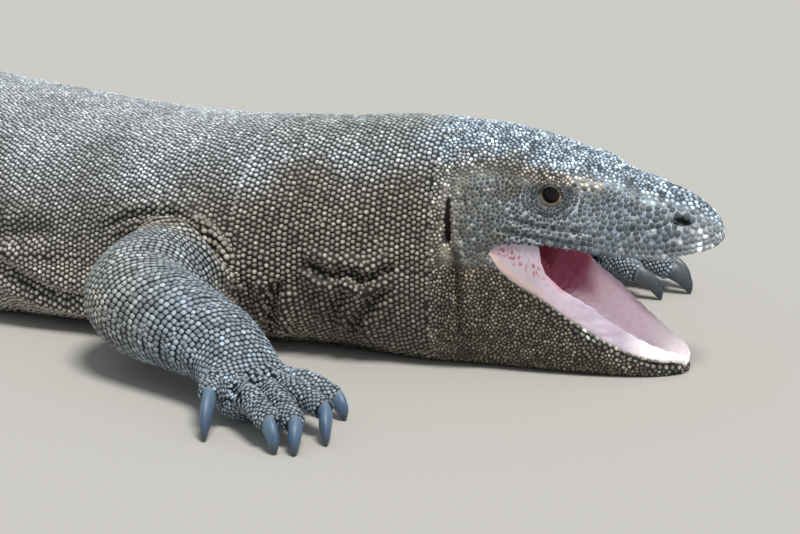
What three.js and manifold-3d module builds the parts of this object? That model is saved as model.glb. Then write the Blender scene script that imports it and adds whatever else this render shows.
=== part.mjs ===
// A life-size komodo dragon lying on its belly with its head level and its mouth wide open.
// Millimetres, +Z up, +X towards the head. The origin lies on the floor under the middle of the belly.
//
// The body is a row of lengths along one spine. The head and the lower jaw are lofted along the
// head's own axis, and every limb is a chain of tapered tubes that ends in a palm with five digits.
// Neighbouring nodes are parted by thin cuts.

import * as THREE from 'three';
import { mergeVertices } from 'three/addons/utils/BufferGeometryUtils.js';
import Module from 'manifold-3d';

const wasm = await Module();
wasm.setup();

// ---------------------------------------------------------------------------
// Driving dimensions
// ---------------------------------------------------------------------------

const CUT = 0.3;                 // width of the cut between two neighbouring nodes
const FLOOR = 0;                 // level of every flat that the animal lies on

const HEAD_LENGTH = 199;         // ear opening to snout tip
const NAPE = 10;                 // ear opening back to the cut between head and neck
const GAPE_CORNER = 29;          // ear opening to mouth corner, along the head
const JAW_LENGTH = 176;          // ear opening to the tip of the lower jaw
const HEAD_AT = new THREE.Vector2(588, 25);
const HEAD_TURN = THREE.MathUtils.degToRad(14);

const RING_POINTS = 20;          // points round a body section
const HEAD_POINTS = 14;          // points over the top of the skull, and under the jaw
const EYE = { at: 77, left: 32.5, height: 139.5, radius: 10.5 };
const ORBIT = { left: 48, radius: 12 };                 // the dish round the eye
const BROW = { at: 80, height: 153, reach: 24, depth: 9, rise: 3.5 };
const EAR = { at: 1, left: 60, height: 119, wide: 7, deep: 12, tall: 38 };

// The spine seen from above, from inside the head back to the tip of the tail.
const SPINE_LEAD = 100;
const SPINE = [
  [HEAD_AT.x + SPINE_LEAD * Math.cos(HEAD_TURN), HEAD_AT.y + SPINE_LEAD * Math.sin(HEAD_TURN)],
  [HEAD_AT.x, HEAD_AT.y],
  [530, 11.5],
  [470, 3],
  [400, 0],
  [200, 0],
  [0, 0],
  [-250, 0],
  [-430, 4],
  [-560, 20],
  [-820, 76],
  [-1110, 130],
  [-1400, 132],
  [-1670, 76],
  [-1925, -10],
];

// Sections of the neck, trunk and tail. `at` is the distance behind the ear opening along the
// spine, and `widest` is the height at which the section is widest. `bottom` is where the belly
// would hang without the floor, which presses it flat. `crown` and `keel` round the upper and the
// lower half: 2 is an ellipse, and a larger number is squarer.
const BODY = [
  { at: NAPE, half: 69, top: 182, widest: 78, bottom: -5, crown: 2.15, keel: 3.2 },
  { at: 45, half: 74, top: 181, widest: 80, bottom: -4, crown: 2.1, keel: 2.8 },
  { at: 95, half: 83, top: 175, widest: 74, bottom: -3, crown: 2.1, keel: 2.3 },
  { at: 150, half: 96, top: 169, widest: 70, bottom: -4, crown: 2.1, keel: 2.4 },
  { at: 215, half: 115, top: 161, widest: 68, bottom: -5, crown: 2.15, keel: 2.8 },
  { at: 300, half: 132, top: 154, widest: 64, bottom: -6, crown: 2.2, keel: 3.2 },
  { at: 420, half: 150, top: 152, widest: 62, bottom: -7, crown: 2.2, keel: 3.3 },
  { at: 590, half: 161, top: 156, widest: 62, bottom: -8, crown: 2.2, keel: 3.3 },
  { at: 760, half: 151, top: 154, widest: 62, bottom: -8, crown: 2.2, keel: 3.2 },
  { at: 900, half: 124, top: 146, widest: 62, bottom: -7, crown: 2.15, keel: 2.9 },
  { at: 1010, half: 98, top: 135, widest: 60, bottom: -5, crown: 2.1, keel: 2.6 },
  { at: 1100, half: 74, top: 119, widest: 54, bottom: -4, crown: 2.0, keel: 2.4 },
  { at: 1230, half: 55, top: 104, widest: 46, bottom: -3, crown: 1.9, keel: 2.3 },
  { at: 1450, half: 38, top: 84, widest: 36, bottom: -3, crown: 1.8, keel: 2.3 },
  { at: 1750, half: 25, top: 60, widest: 25, bottom: -2, crown: 1.75, keel: 2.2 },
  { at: 2100, half: 15, top: 38, widest: 16, bottom: -2, crown: 1.75, keel: 2.2 },
  { at: 2400, half: 7, top: 19, widest: 8, bottom: -1, crown: 1.8, keel: 2.2 },
  { at: 2530, half: 3, top: 8, widest: 3.5, bottom: -0.5, crown: 2.0, keel: 2.2 },
];

// Lengths of the body: name, start and end along the spine, and the number of rings.
const LENGTHS = [
  { name: 'neck', from: NAPE, to: 150, rings: 6 },
  { name: 'chest', from: 150, to: 330, rings: 5 },
  { name: 'belly_front', from: 330, to: 560, rings: 5 },
  { name: 'belly_rear', from: 560, to: 850, rings: 5 },
  { name: 'pelvis', from: 850, to: 1100, rings: 6 },
  { name: 'tail_1', from: 1100, to: 1310, rings: 5 },
  { name: 'tail_2', from: 1310, to: 1540, rings: 4 },
  { name: 'tail_3', from: 1540, to: 1780, rings: 4 },
  { name: 'tail_4', from: 1780, to: 2030, rings: 4 },
  { name: 'tail_5', from: 2030, to: 2280, rings: 4 },
  { name: 'tail_6', from: 2280, to: 2530, rings: 5 },
];

// Sections of the skull and upper jaw. `at` is the distance in front of the ear opening, `half`
// the half width at the lip, `top` the height of the skull roof, `lip` that of the lip's edge.
const SKULL = [
  { at: -NAPE, half: 69, top: 182, lip: 78, crown: 2.15 },
  { at: 0, half: 67, top: 181, lip: 84, crown: 2.15 },
  { at: 15, half: 64.5, top: 181, lip: 92, crown: 2.15 },
  { at: 30, half: 60, top: 180, lip: 98, crown: 2.1 },
  { at: 50, half: 55, top: 177, lip: 101, crown: 2.2 },
  { at: 72, half: 51, top: 172, lip: 101, crown: 2.35 },
  { at: 90, half: 48, top: 165, lip: 99, crown: 2.5 },
  { at: 110, half: 44, top: 160, lip: 96, crown: 2.6 },
  { at: 132, half: 40, top: 152, lip: 93, crown: 2.8 },
  { at: 152, half: 35, top: 145, lip: 92, crown: 2.9 },
  { at: 172, half: 28.5, top: 138, lip: 95, crown: 2.8 },
  { at: 186, half: 22, top: 130, lip: 98, crown: 2.7 },
  { at: 195, half: 14.5, top: 122, lip: 101, crown: 2.6 },
  { at: 199, half: 8, top: 117, lip: 104, crown: 2.4 },
];
// Distances in front of the ear opening at which skull, jaw and mouth lining all have a ring, so
// that their facets match.
const HEAD_ROWS = [-NAPE, 5, 18, GAPE_CORNER, 36, 46, 58, 72, 86, 100, 116, 132, 148, 160, 170];
const THROAT_END = 46;           // the back wall of the open mouth
const PALATE_RISE = 7;           // height of the palate above the lips

// Sections of the lower jaw with the throat under it, down to the floor.
const JAW = [
  { at: -NAPE, half: 69, rim: 78, keel: 3.2 },
  { at: 0, half: 67, rim: 84, keel: 3.2 },
  { at: 15, half: 64.5, rim: 92, keel: 3.4 },
  { at: 30, half: 60, rim: 97, keel: 3.6 },
  { at: 42, half: 57, rim: 83, keel: 3.6 },
  { at: 57, half: 55, rim: 72, keel: 3.6 },
  { at: 76, half: 52, rim: 61, keel: 3.6 },
  { at: 94, half: 48, rim: 48, keel: 3.6 },
  { at: 116, half: 42.5, rim: 34, keel: 3.4 },
  { at: 138, half: 35, rim: 22, keel: 3.2 },
  { at: 158, half: 25, rim: 15, keel: 3.0 },
  { at: 170, half: 15, rim: 13, keel: 2.8 },
  { at: 176, half: 6, rim: 11, keel: 2.4 },
];
const LINING_GAP = 1.5;          // between the lining of the mouth and the faceted jaw and skull
const JAW_HANG = -5;             // bottom of the jaw before the floor presses it flat
const TROUGH_DEPTH = 10;         // depth of the mouth's floor below the rim

// Joints of the limbs as [x, y, z], from the body outwards: shoulder or hip, elbow or knee, wrist
// or ankle. `turn` is the heading of the palm or sole in degrees from the body's axis.
const FORELIMB_RIGHT = { root: [412, -62, 62], bend: [412, -158, 56], end: [517, -190, 38], turn: -30 };
const FORELIMB_LEFT = { root: [412, 62, 62], bend: [410, 186, 56], end: [530, 250, 38], turn: -3 };
const HINDLIMB_RIGHT = { root: [-400, -50, 66], bend: [-316, -226, 58], end: [-446, -272, 38], turn: -42 };
const HINDLIMB_LEFT = { root: [-404, 58, 66], bend: [-346, 238, 58], end: [-480, 276, 38], turn: 38 };

// Half thickness of each length of a limb along its way, as [side, up]. Palm and sole reach
// `length` ahead of the wrist or ankle and end at `height`.
const ARM = {
  upper: [[46, 44], [49, 46], [47, 44], [43, 41]],
  lower: [[43, 41], [44, 40], [38, 34], [31, 28]],
  palm: [[31, 28], [35, 22], [32, 19]],
  length: 46,
  height: 17,
};
const LEG = {
  upper: [[60, 52], [62, 56], [55, 50], [46, 43]],
  lower: [[46, 43], [44, 41], [36, 34], [29, 28]],
  palm: [[29, 28], [32, 22], [34, 19]],
  length: 74,
  height: 17,
};
const KNUCKLE_HEIGHT = 23;
const KNUCKLE_ARCH = 5;          // how far a digit's middle stands above the line of its ends

// Digits from the inner to the outer one. `ahead` and `aside` place the knuckle on the palm, and
// `spread` is the digit's angle from the palm's axis, positive towards the inner side. `rise` is
// the height of the claw's root, `claw` how far the claw reaches past it, and `hook` its own turn.
const FINGERS = [
  { ahead: 26, aside: 23, spread: 44, length: 50, rise: 14, claw: 10, hook: -30 },
  { ahead: 41, aside: 16, spread: 14, length: 61, rise: 20, claw: 19, hook: -35 },
  { ahead: 46, aside: 4, spread: -2, length: 68, rise: 18, claw: 15, hook: -24 },
  { ahead: 41, aside: -9, spread: -5, length: 65, rise: 18, claw: 13, hook: 0 },
  { ahead: 24, aside: -18, spread: -34, length: 34, rise: 27, claw: 23, hook: 0 },
];
const TOES = [
  { ahead: 44, aside: 24, spread: 30, length: 44, rise: 15, claw: 15, hook: 0 },
  { ahead: 66, aside: 18, spread: 14, length: 62, rise: 18, claw: 18, hook: 0 },
  { ahead: 73, aside: 5, spread: 2, length: 76, rise: 19, claw: 19, hook: 0 },
  { ahead: 68, aside: -9, spread: -10, length: 88, rise: 19, claw: 19, hook: 0 },
  { ahead: 26, aside: -20, spread: -44, length: 56, rise: 16, claw: 16, hook: 0 },
];
const DIGIT_ROOT = 12.5;         // half thickness of a digit at the knuckle
const DIGIT_END = 9;             // and where its claw starts
const CLAW_ROOT = 5.8;           // half thickness of a claw where it starts
const CLAW_TIP = 0.7;

// ---------------------------------------------------------------------------
// Surfaces
// ---------------------------------------------------------------------------

const SKIN_GREY = surface(0x6f6f6a, 0.72);
const HEAD_GREY = surface(0x7f8487, 0.66);
const JAW_BROWN = surface(0x5f5a52, 0.72);
const LIMB_GREY = surface(0x6a7075, 0.7);
const CLAW_SLATE = surface(0x3f5063, 0.35);
const MOUTH_PINK = surface(0xd98f8c, 0.3);
const THROAT_RED = surface(0x8e3f3f, 0.3);
const EYE_DARK = surface(0x1c1412, 0.08);
const EAR_DARK = surface(0x1b1815, 0.8);

function surface(color, roughness) {
  return new THREE.MeshStandardMaterial({ color, roughness, metalness: 0 });
}

// ---------------------------------------------------------------------------
// Closed shapes
// ---------------------------------------------------------------------------

// Positive when the faces of a closed geometry point outwards.
function signedVolume(geometry) {
  const position = geometry.attributes.position;
  const index = geometry.index;
  const [a, b, c] = [new THREE.Vector3(), new THREE.Vector3(), new THREE.Vector3()];
  let sum = 0;
  for (let i = 0; i < index.count; i += 3) {
    a.fromBufferAttribute(position, index.getX(i));
    b.fromBufferAttribute(position, index.getX(i + 1));
    c.fromBufferAttribute(position, index.getX(i + 2));
    sum += a.dot(b.cross(c));
  }
  return sum / 6;
}

// A closed skin over a row of rings with the same number of points. The ends are closed by a fan
// round the ring's middle, or, on a slab, by a strip between its lower and its upper points.
function loft(rings, closeEnd = fanEnd) {
  const count = rings[0].length;
  const points = rings.flat();
  const faces = [];
  for (let row = 0; row + 1 < rings.length; row += 1) {
    for (let k = 0; k < count; k += 1) {
      const next = (k + 1) % count;
      const [a, b] = [row * count + k, row * count + next];
      faces.push(a, b, a + count, b, b + count, a + count);
    }
  }
  const last = (rings.length - 1) * count;
  closeEnd(points, rings[0], 0, (a, b, c) => faces.push(c, b, a));
  closeEnd(points, rings[rings.length - 1], last, (a, b, c) => faces.push(a, b, c));
  const geometry = new THREE.BufferGeometry().setFromPoints(points);
  geometry.setIndex(faces);
  if (signedVolume(geometry) < 0) {
    geometry.setIndex(faces.reverse());
  }
  return geometry;
}

function fanEnd(points, ring, start, addFace) {
  const middle = points.length;
  points.push(middleOf(ring));
  ring.forEach((_, k) => addFace(middle, start + k, start + ((k + 1) % ring.length)));
}

function stripEnd(points, ring, start, addFace) {
  for (let k = 0; k + 1 < ring.length / 2; k += 1) {
    const [low, high] = [start + k, start + ring.length - 1 - k];
    addFace(low, low + 1, high);
    addFace(low + 1, high - 1, high);
  }
}

function middleOf(ring) {
  const box = new THREE.Box3().setFromPoints(ring);
  return box.getCenter(new THREE.Vector3());
}

function toSolid(geometry) {
  const bare = geometry.clone();
  bare.deleteAttribute('normal');
  bare.deleteAttribute('uv');
  const merged = mergeVertices(bare, 1e-4);
  const mesh = new wasm.Mesh({
    numProp: 3,
    vertProperties: new Float32Array(merged.attributes.position.array),
    triVerts: new Uint32Array(merged.index.array),
  });
  return new wasm.Manifold(mesh);
}

function toGeometry(solid) {
  const mesh = solid.getMesh();
  const geometry = new THREE.BufferGeometry();
  geometry.setAttribute('position', new THREE.BufferAttribute(new Float32Array(mesh.vertProperties), 3));
  geometry.setIndex(new THREE.BufferAttribute(new Uint32Array(mesh.triVerts), 1));
  return geometry;
}

// A value of a table of stations at a distance, on a smooth curve that doesn't overshoot
// (a cubic with the slopes limited where the values turn).
function valueAt(stations, key, at) {
  const last = stations.length - 1;
  const slope = (i) => (stations[i + 1][key] - stations[i][key]) / (stations[i + 1].at - stations[i].at);
  const tangent = (i) => {
    if (i === 0) {
      return slope(0);
    }
    if (i === last) {
      return slope(last - 1);
    }
    const [before, after] = [slope(i - 1), slope(i)];
    return before * after <= 0 ? 0 : (2 * before * after) / (before + after);
  };
  let i = 0;
  while (i < last - 1 && at > stations[i + 1].at) {
    i += 1;
  }
  const step = stations[i + 1].at - stations[i].at;
  const t = THREE.MathUtils.clamp((at - stations[i].at) / step, 0, 1);
  const [p, q] = [stations[i][key], stations[i + 1][key]];
  const [m, n] = [tangent(i) * step, tangent(i + 1) * step];
  const [t2, t3] = [t * t, t * t * t];
  return (2 * t3 - 3 * t2 + 1) * p + (t3 - 2 * t2 + t) * m + (3 * t2 - 2 * t3) * q + (t3 - t2) * n;
}

function between(from, to, count) {
  return Array.from({ length: count }, (_, i) => from + ((to - from) * i) / (count - 1));
}

// The power of a number, with its sign kept: it squares or rounds a section.
function signedPower(value, power) {
  return Math.sign(value) * Math.abs(value) ** power;
}

// ---------------------------------------------------------------------------
// Neck, trunk and tail
// ---------------------------------------------------------------------------

const spine = new THREE.CatmullRomCurve3(SPINE.map(([x, y]) => new THREE.Vector3(x, y, 0)), false, 'centripetal');
spine.arcLengthDivisions = 2000;
const SPINE_LENGTH = spine.getLength();

const forward = new THREE.Vector3(Math.cos(HEAD_TURN), Math.sin(HEAD_TURN), 0);
const leftward = new THREE.Vector3(-forward.y, forward.x, 0);

// A point of the head: `at` in front of the ear openings, `left` of the middle, at a height.
function headPoint(at, left, height) {
  const point = new THREE.Vector3(HEAD_AT.x, HEAD_AT.y, height);
  return point.addScaledVector(forward, at).addScaledVector(leftward, left);
}

// The place of the spine and the direction to its left, at a distance behind the ear opening. The
// first length starts square to the head.
function spineFrame(at) {
  if (at < NAPE + CUT + 1) {
    return { place: headPoint(-at, 0, 0), left: leftward };
  }
  const share = Math.min(1, (SPINE_LEAD + at) / SPINE_LENGTH);
  const tangent = spine.getTangentAt(share);
  return { place: spine.getPointAt(share), left: new THREE.Vector3(tangent.y, -tangent.x, 0) };
}

function bodyRing(at) {
  const { place, left } = spineFrame(at);
  const value = (key) => valueAt(BODY, key, at);
  const [half, top, widest, bottom] = ['half', 'top', 'widest', 'bottom'].map(value);
  return Array.from({ length: RING_POINTS }, (_, k) => {
    const angle = (2 * Math.PI * k) / RING_POINTS;
    const upper = Math.sin(angle) >= 0;
    const power = 2 / value(upper ? 'crown' : 'keel');
    const rise = (upper ? top - widest : widest - bottom) * signedPower(Math.sin(angle), power);
    const point = place.clone().addScaledVector(left, half * signedPower(Math.cos(angle), power));
    point.z = Math.max(FLOOR, widest + rise);
    return point;
  });
}

function bodyLength({ from, to, rings }) {
  return toSolid(loft(between(from + CUT / 2, to - CUT / 2, rings).map(bodyRing)));
}

// A stretch of the body, over the same rings, grown by the width of a cut: it parts a limb from it.
function bodyGrown(names) {
  const lengths = LENGTHS.filter(({ name }) => names.includes(name));
  const rows = lengths.flatMap(({ from, to, rings }) => between(from + CUT / 2, to - CUT / 2, rings));
  return toSolid(loft(rows.map((at) => grow(bodyRing(at), CUT))));
}

// A ring moved outwards from its middle by a small distance.
function grow(ring, distance) {
  const middle = middleOf(ring);
  return ring.map((point) => {
    const away = point.clone().sub(middle).normalize();
    return point.clone().addScaledVector(away, distance);
  });
}

// ---------------------------------------------------------------------------
// Head
// ---------------------------------------------------------------------------

// How far the palate rises above the lips, and how deep the mouth's floor lies under the rim, at
// a share of the half width. Both start at the mouth's corner.
function palateRise(at, share) {
  const rise = THREE.MathUtils.clamp(0.2 * (at - GAPE_CORNER), 0, PALATE_RISE);
  return Math.min(rise, 0.15 * (HEAD_LENGTH - at)) * (1 - share * share);
}

function troughDepth(at, share) {
  const depth = THREE.MathUtils.clamp(0.6 * (at - GAPE_CORNER), 0, TROUGH_DEPTH);
  const shallow = 0.45 * valueAt(JAW, 'rim', at);
  return Math.min(depth, shallow) * Math.min(1, 2.2 * (1 - Math.abs(share)));
}

const PALATE_SHARES = [-0.8, -0.45, 0, 0.45, 0.8];
const TROUGH_SHARES = [0.86, 0.6, 0.3, 0, -0.3, -0.6, -0.86];

// Half a section over the top of the skull, from the left lip to the right one, closed by the
// palate. The brow stands out over the eye.
function skullRing(at) {
  const [half, top, lip, crown] = ['half', 'top', 'lip', 'crown'].map((key) => valueAt(SKULL, key, at));
  const ring = [];
  for (let k = 0; k <= HEAD_POINTS; k += 1) {
    const angle = (Math.PI * k) / HEAD_POINTS;
    const across = half * signedPower(Math.cos(angle), 2 / crown);
    const height = lip + (top - lip) * signedPower(Math.sin(angle), 2 / crown);
    const away = ((at - BROW.at) / BROW.reach) ** 2 + ((height - BROW.height) / BROW.depth) ** 2;
    const brow = BROW.rise * Math.exp(-away) * Math.sign(across);
    ring.push(headPoint(at, across + brow, height + Math.abs(brow) * 0.4));
  }
  for (const share of PALATE_SHARES) {
    ring.push(headPoint(at, half * share, lip + palateRise(at, share)));
  }
  return ring;
}

// Half a section under the jaw, from the right rim to the left one, closed by the trough of the
// mouth's floor. The floor presses the jaw and the throat flat.
function jawRing(at) {
  const [half, rim, keel] = ['half', 'rim', 'keel'].map((key) => valueAt(JAW, key, at));
  const top = rim - CUT;
  const ring = [];
  for (let k = 0; k <= HEAD_POINTS; k += 1) {
    const angle = Math.PI + (Math.PI * k) / HEAD_POINTS;
    const height = top + (top - JAW_HANG) * signedPower(Math.sin(angle), 2 / keel);
    const across = half * signedPower(Math.cos(angle), 2 / keel);
    ring.push(headPoint(at, across, Math.max(FLOOR, height)));
  }
  for (const share of TROUGH_SHARES) {
    ring.push(headPoint(at, half * share, top - troughDepth(at, share)));
  }
  return ring;
}

// A ball in the head, at an eye or round it.
function headBall(side, { at, height }, left, radius) {
  const ball = new THREE.SphereGeometry(radius, 10, 7);
  ball.translate(...headPoint(at, side * left, height).toArray());
  return toSolid(ball);
}

// The upright slit of an ear, as a slim plug.
function earPlug(side, margin) {
  const plug = new THREE.SphereGeometry(0.5, 8, 6);
  plug.scale(EAR.wide + 2 * margin, EAR.deep + 2 * margin, EAR.tall + 2 * margin);
  plug.rotateZ(HEAD_TURN);
  plug.translate(...headPoint(EAR.at, side * EAR.left, EAR.height).toArray());
  return toSolid(plug);
}

function head() {
  const rows = [...HEAD_ROWS, 182, 190, 195, HEAD_LENGTH];
  let solid = toSolid(loft(rows.map(skullRing)));
  for (const side of [-1, 1]) {
    solid = solid.subtract(headBall(side, EYE, EYE.left, EYE.radius + CUT));
    solid = solid.subtract(headBall(side, EYE, ORBIT.left, ORBIT.radius));
    solid = solid.subtract(earPlug(side, CUT));
  }
  return solid;
}

function lowerJaw() {
  const rows = [...HEAD_ROWS, JAW_LENGTH];
  return toSolid(loft(rows.map(jawRing)));
}

// The lowest and the highest level of the mouth's lining, just clear of the jaw and the skull.
function floorHeight(at, share) {
  return valueAt(JAW, 'rim', at) - troughDepth(at, share) + LINING_GAP;
}

function palateHeight(at, share) {
  return valueAt(SKULL, 'lip', at) + palateRise(at, share) - LINING_GAP;
}

// A closed slab in the mouth between two heights, over shares of the jaw's half width.
function mouthSlab(rows, shares, low, high) {
  const rings = rows.map((at) => {
    const half = valueAt(JAW, 'half', Math.min(at, JAW_LENGTH - 8));
    const under = shares.map((share) => headPoint(at, half * share, low(at, share)));
    const over = shares.map((share) => headPoint(at, half * share, high(at, share)));
    return [...under, ...over.reverse()];
  });
  return toSolid(loft(rings, stripEnd));
}

// The rows of the floor and the palate, in front of the back wall.
function liningRows() {
  return HEAD_ROWS.filter((at) => at >= THROAT_END).map((at) => Math.max(at, THROAT_END + CUT));
}

const LINING_SHARES = [-0.84, -0.6, -0.3, 0, 0.3, 0.6, 0.84];

// The pink floor of the mouth, whose bulky gums stand above the rim of the jaw.
function mouthFloor() {
  const gum = (share) => (Math.abs(share) > 0.8 ? 8 : 2.5);
  const thickness = (at, share) => gum(share) * THREE.MathUtils.clamp((172 - at) / 20, 0.35, 1);
  const high = (at, share) => floorHeight(at, share) + thickness(at, share);
  return mouthSlab(liningRows(), LINING_SHARES, floorHeight, high);
}

function palate() {
  const low = (at, share) => palateHeight(at, share) - 2.5;
  return mouthSlab(liningRows(), LINING_SHARES, low, palateHeight);
}

// The back wall of the open mouth.
function throatLining() {
  return mouthSlab([36, THROAT_END], LINING_SHARES, floorHeight, palateHeight);
}

// The web of cheek between the jaws, from the mouth's corner forwards.
function cheekWeb(side) {
  const shares = [0.88, 0.95].map((share) => share * side);
  const low = (at) => valueAt(JAW, 'rim', at) + LINING_GAP;
  const high = (at) => valueAt(SKULL, 'lip', at) - LINING_GAP;
  return mouthSlab([36, 46, 58, 72], shares, low, high);
}

// ---------------------------------------------------------------------------
// Limbs
// ---------------------------------------------------------------------------

// Rings along a path, from one share of it to another, square to it unless a direction is given.
// The thickness is a row of [side, up] values spread over that stretch. The floor presses flat what
// would reach below it.
function pathRings(path, { from, to, rows, sides, thickness, direction }) {
  const facing = direction ?? ((t) => path.getTangent(t));
  return between(from, to, rows).map((t, row) => {
    const middle = path.getPoint(t);
    const along = facing(t);
    const aside = new THREE.Vector3(-along.y, along.x, 0).normalize();
    const up = new THREE.Vector3().crossVectors(along, aside);
    const [wide, high] = thicknessAt(thickness, row / (rows - 1));
    return Array.from({ length: sides }, (_, k) => {
      const angle = (2 * Math.PI * (k + 0.5)) / sides;
      const point = middle.clone().addScaledVector(aside, wide * Math.cos(angle));
      point.addScaledVector(up, high * Math.sin(angle));
      return point.setZ(Math.max(FLOOR, point.z));
    });
  });
}

function thicknessAt(thickness, share) {
  const place = share * (thickness.length - 1);
  const i = Math.min(thickness.length - 2, Math.floor(place));
  const t = place - i;
  return [0, 1].map((n) => thickness[i][n] * (1 - t) + thickness[i + 1][n] * t);
}

// Smaller rings beyond the last ring, which round off the end in its own direction.
function roundEnd(ring, away) {
  const middle = middleOf(ring);
  const radius = Math.min(...ring.map((point) => middle.distanceTo(point)));
  return [0.6, 1.2].map((angle) => ring.map((point) => {
    const inward = middle.clone().lerp(point, Math.cos(angle));
    return inward.addScaledVector(away, radius * Math.sin(angle)).setZ(Math.max(FLOOR, inward.z));
  }));
}

// The path of a digit and its claw: knuckle, arch, root of the claw, bow of the claw, its tip.
// The claw's root lies at the middle of the path.
function digitPath(wrist, heading, side, digit) {
  const ahead = new THREE.Vector3(Math.cos(heading), Math.sin(heading), 0);
  const inner = new THREE.Vector3(-ahead.y, ahead.x, 0).multiplyScalar(side);
  const spread = heading + side * THREE.MathUtils.degToRad(digit.spread);
  const along = new THREE.Vector3(Math.cos(spread), Math.sin(spread), 0);
  const knuckle = new THREE.Vector3(wrist.x, wrist.y, 0);
  knuckle.addScaledVector(ahead, digit.ahead).addScaledVector(inner, digit.aside);
  const hook = spread + side * THREE.MathUtils.degToRad(digit.hook);
  const onward = new THREE.Vector3(Math.cos(hook), Math.sin(hook), 0);
  const point = (reach, height) => knuckle.clone().addScaledVector(along, reach).setZ(height);
  const claw = (reach, height) => point(digit.length, 0).addScaledVector(onward, reach).setZ(height);
  return new THREE.CatmullRomCurve3([
    point(0, KNUCKLE_HEIGHT),
    point(0.5 * digit.length, (KNUCKLE_HEIGHT + digit.rise) / 2 + KNUCKLE_ARCH),
    point(digit.length, digit.rise),
    claw(0.65 * digit.claw, 0.6 * digit.rise),
    claw(digit.claw, CLAW_TIP),
  ]);
}

// The fleshy part of a digit, from the knuckle inside the palm to the claw's root.
function digitBody(path) {
  const thickness = [[DIGIT_ROOT, DIGIT_ROOT], [DIGIT_END + 1, DIGIT_END + 1], [DIGIT_END, DIGIT_END]];
  return toSolid(loft(pathRings(path, { from: 0, to: 0.5, rows: 4, sides: 7, thickness })));
}

function clawOf(path) {
  const root = [CLAW_ROOT, CLAW_ROOT + 1.2];
  const middle = [CLAW_ROOT * 0.75, CLAW_ROOT * 0.85];
  const thickness = [root, middle, [CLAW_TIP, CLAW_TIP]];
  const from = 0.5 + (2 * CUT) / path.getLength();
  return toSolid(loft(pathRings(path, { from, to: 1, rows: 4, sides: 5, thickness })));
}

// The direction that the rings of a limb face. At a joint it halves the bend, and in between it
// turns evenly, so that rings don't cross on the inner side of a sharp bend.
function mitred(joints) {
  const steps = joints.slice(1).map((joint, i) => joint.clone().sub(joints[i]).normalize());
  const inner = steps.slice(1).map((step, i) => step.clone().add(steps[i]).normalize());
  const facing = [steps[0], ...inner, steps[steps.length - 1]];
  return (t) => {
    const i = Math.min(steps.length - 1, Math.floor(t * steps.length));
    return facing[i].clone().lerp(facing[i + 1], t * steps.length - i).normalize();
  };
}

// A limb of one side, from inside the trunk to the claws: one path through its joints, parted at
// the elbow or knee and at the wrist or ankle. `side` is +1 where its inner side faces left.
function limb(joints, side, form, digits, trunk) {
  const [root, bend, end] = [joints.root, joints.bend, joints.end].map((p) => new THREE.Vector3(...p));
  const heading = THREE.MathUtils.degToRad(joints.turn);
  const ahead = new THREE.Vector3(Math.cos(heading), Math.sin(heading), 0);
  const toe = end.clone().addScaledVector(ahead, form.length).setZ(form.height);
  const path = new THREE.CatmullRomCurve3([root, bend, end, toe], false, 'centripetal');
  const gap = CUT / path.getLength();
  const direction = mitred([root, bend, end, toe]);
  const length = (i, thickness, rows) => {
    const [from, to] = [i / 3 + gap, (i + 1) / 3 - gap];
    return pathRings(path, { from, to, rows, sides: 12, thickness, direction });
  };
  const palmRings = length(2, form.palm, 4);
  palmRings.push(...roundEnd(palmRings[palmRings.length - 1], ahead));
  const paths = digits.map((digit) => digitPath(end, heading, side, digit));
  const palm = paths.reduce((solid, digit) => solid.add(digitBody(digit)), toSolid(loft(palmRings)));
  return {
    upper: toSolid(loft(length(0, form.upper, 5))).subtract(trunk),
    lower: toSolid(loft(length(1, form.lower, 5))).subtract(trunk),
    foot: palm,
    claws: paths.map(clawOf),
  };
}

// ---------------------------------------------------------------------------
// The whole animal
// ---------------------------------------------------------------------------

const dragon = new THREE.Group();

function place(name, solid, material) {
  const mesh = new THREE.Mesh(toGeometry(solid), material);
  mesh.name = name;
  dragon.add(mesh);
}

place('head', head(), HEAD_GREY);
place('lower_jaw', lowerJaw(), JAW_BROWN);
place('mouth_floor', mouthFloor(), MOUTH_PINK);
place('palate', palate(), MOUTH_PINK);
place('throat_lining', throatLining(), THROAT_RED);
for (const [name, side] of [['right', -1], ['left', 1]]) {
  place(`cheek_web_${name}`, cheekWeb(side), MOUTH_PINK);
  place(`eye_${name}`, headBall(side, EYE, EYE.left, EYE.radius), EYE_DARK);
  place(`ear_${name}`, earPlug(side, 0), EAR_DARK);
}
for (const length of LENGTHS) {
  place(length.name, bodyLength(length), SKIN_GREY);
}

const shoulders = bodyGrown(['neck', 'chest', 'belly_front']);
const hips = bodyGrown(['belly_rear', 'pelvis', 'tail_1']);
for (const [name, side, fore, hind] of [
  ['right', 1, FORELIMB_RIGHT, HINDLIMB_RIGHT],
  ['left', -1, FORELIMB_LEFT, HINDLIMB_LEFT],
]) {
  const arm = limb(fore, side, ARM, FINGERS, shoulders);
  place(`upper_arm_${name}`, arm.upper, LIMB_GREY);
  place(`forearm_${name}`, arm.lower, LIMB_GREY);
  place(`hand_${name}`, arm.foot, LIMB_GREY);
  const leg = limb(hind, side, LEG, TOES, hips);
  place(`thigh_${name}`, leg.upper, LIMB_GREY);
  place(`shank_${name}`, leg.lower, LIMB_GREY);
  place(`foot_${name}`, leg.foot, LIMB_GREY);
  arm.claws.forEach((claw, i) => place(`finger_claw_${name}_${i + 1}`, claw, CLAW_SLATE));
  leg.claws.forEach((claw, i) => place(`toe_claw_${name}_${i + 1}`, claw, CLAW_SLATE));
}

export default dragon;
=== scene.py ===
"""A life-size model of a komodo dragon that lies with its mouth open, dressed for rendering.

Lengths in the tables are in millimetres, as in the part's source; meshes are in metres. The head
has its own frame: `at` in front of the ear openings, `left` of the middle, and the height. The
body's frame runs along the spine: `at` behind the ear openings, and an angle round the section.
"""

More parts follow.
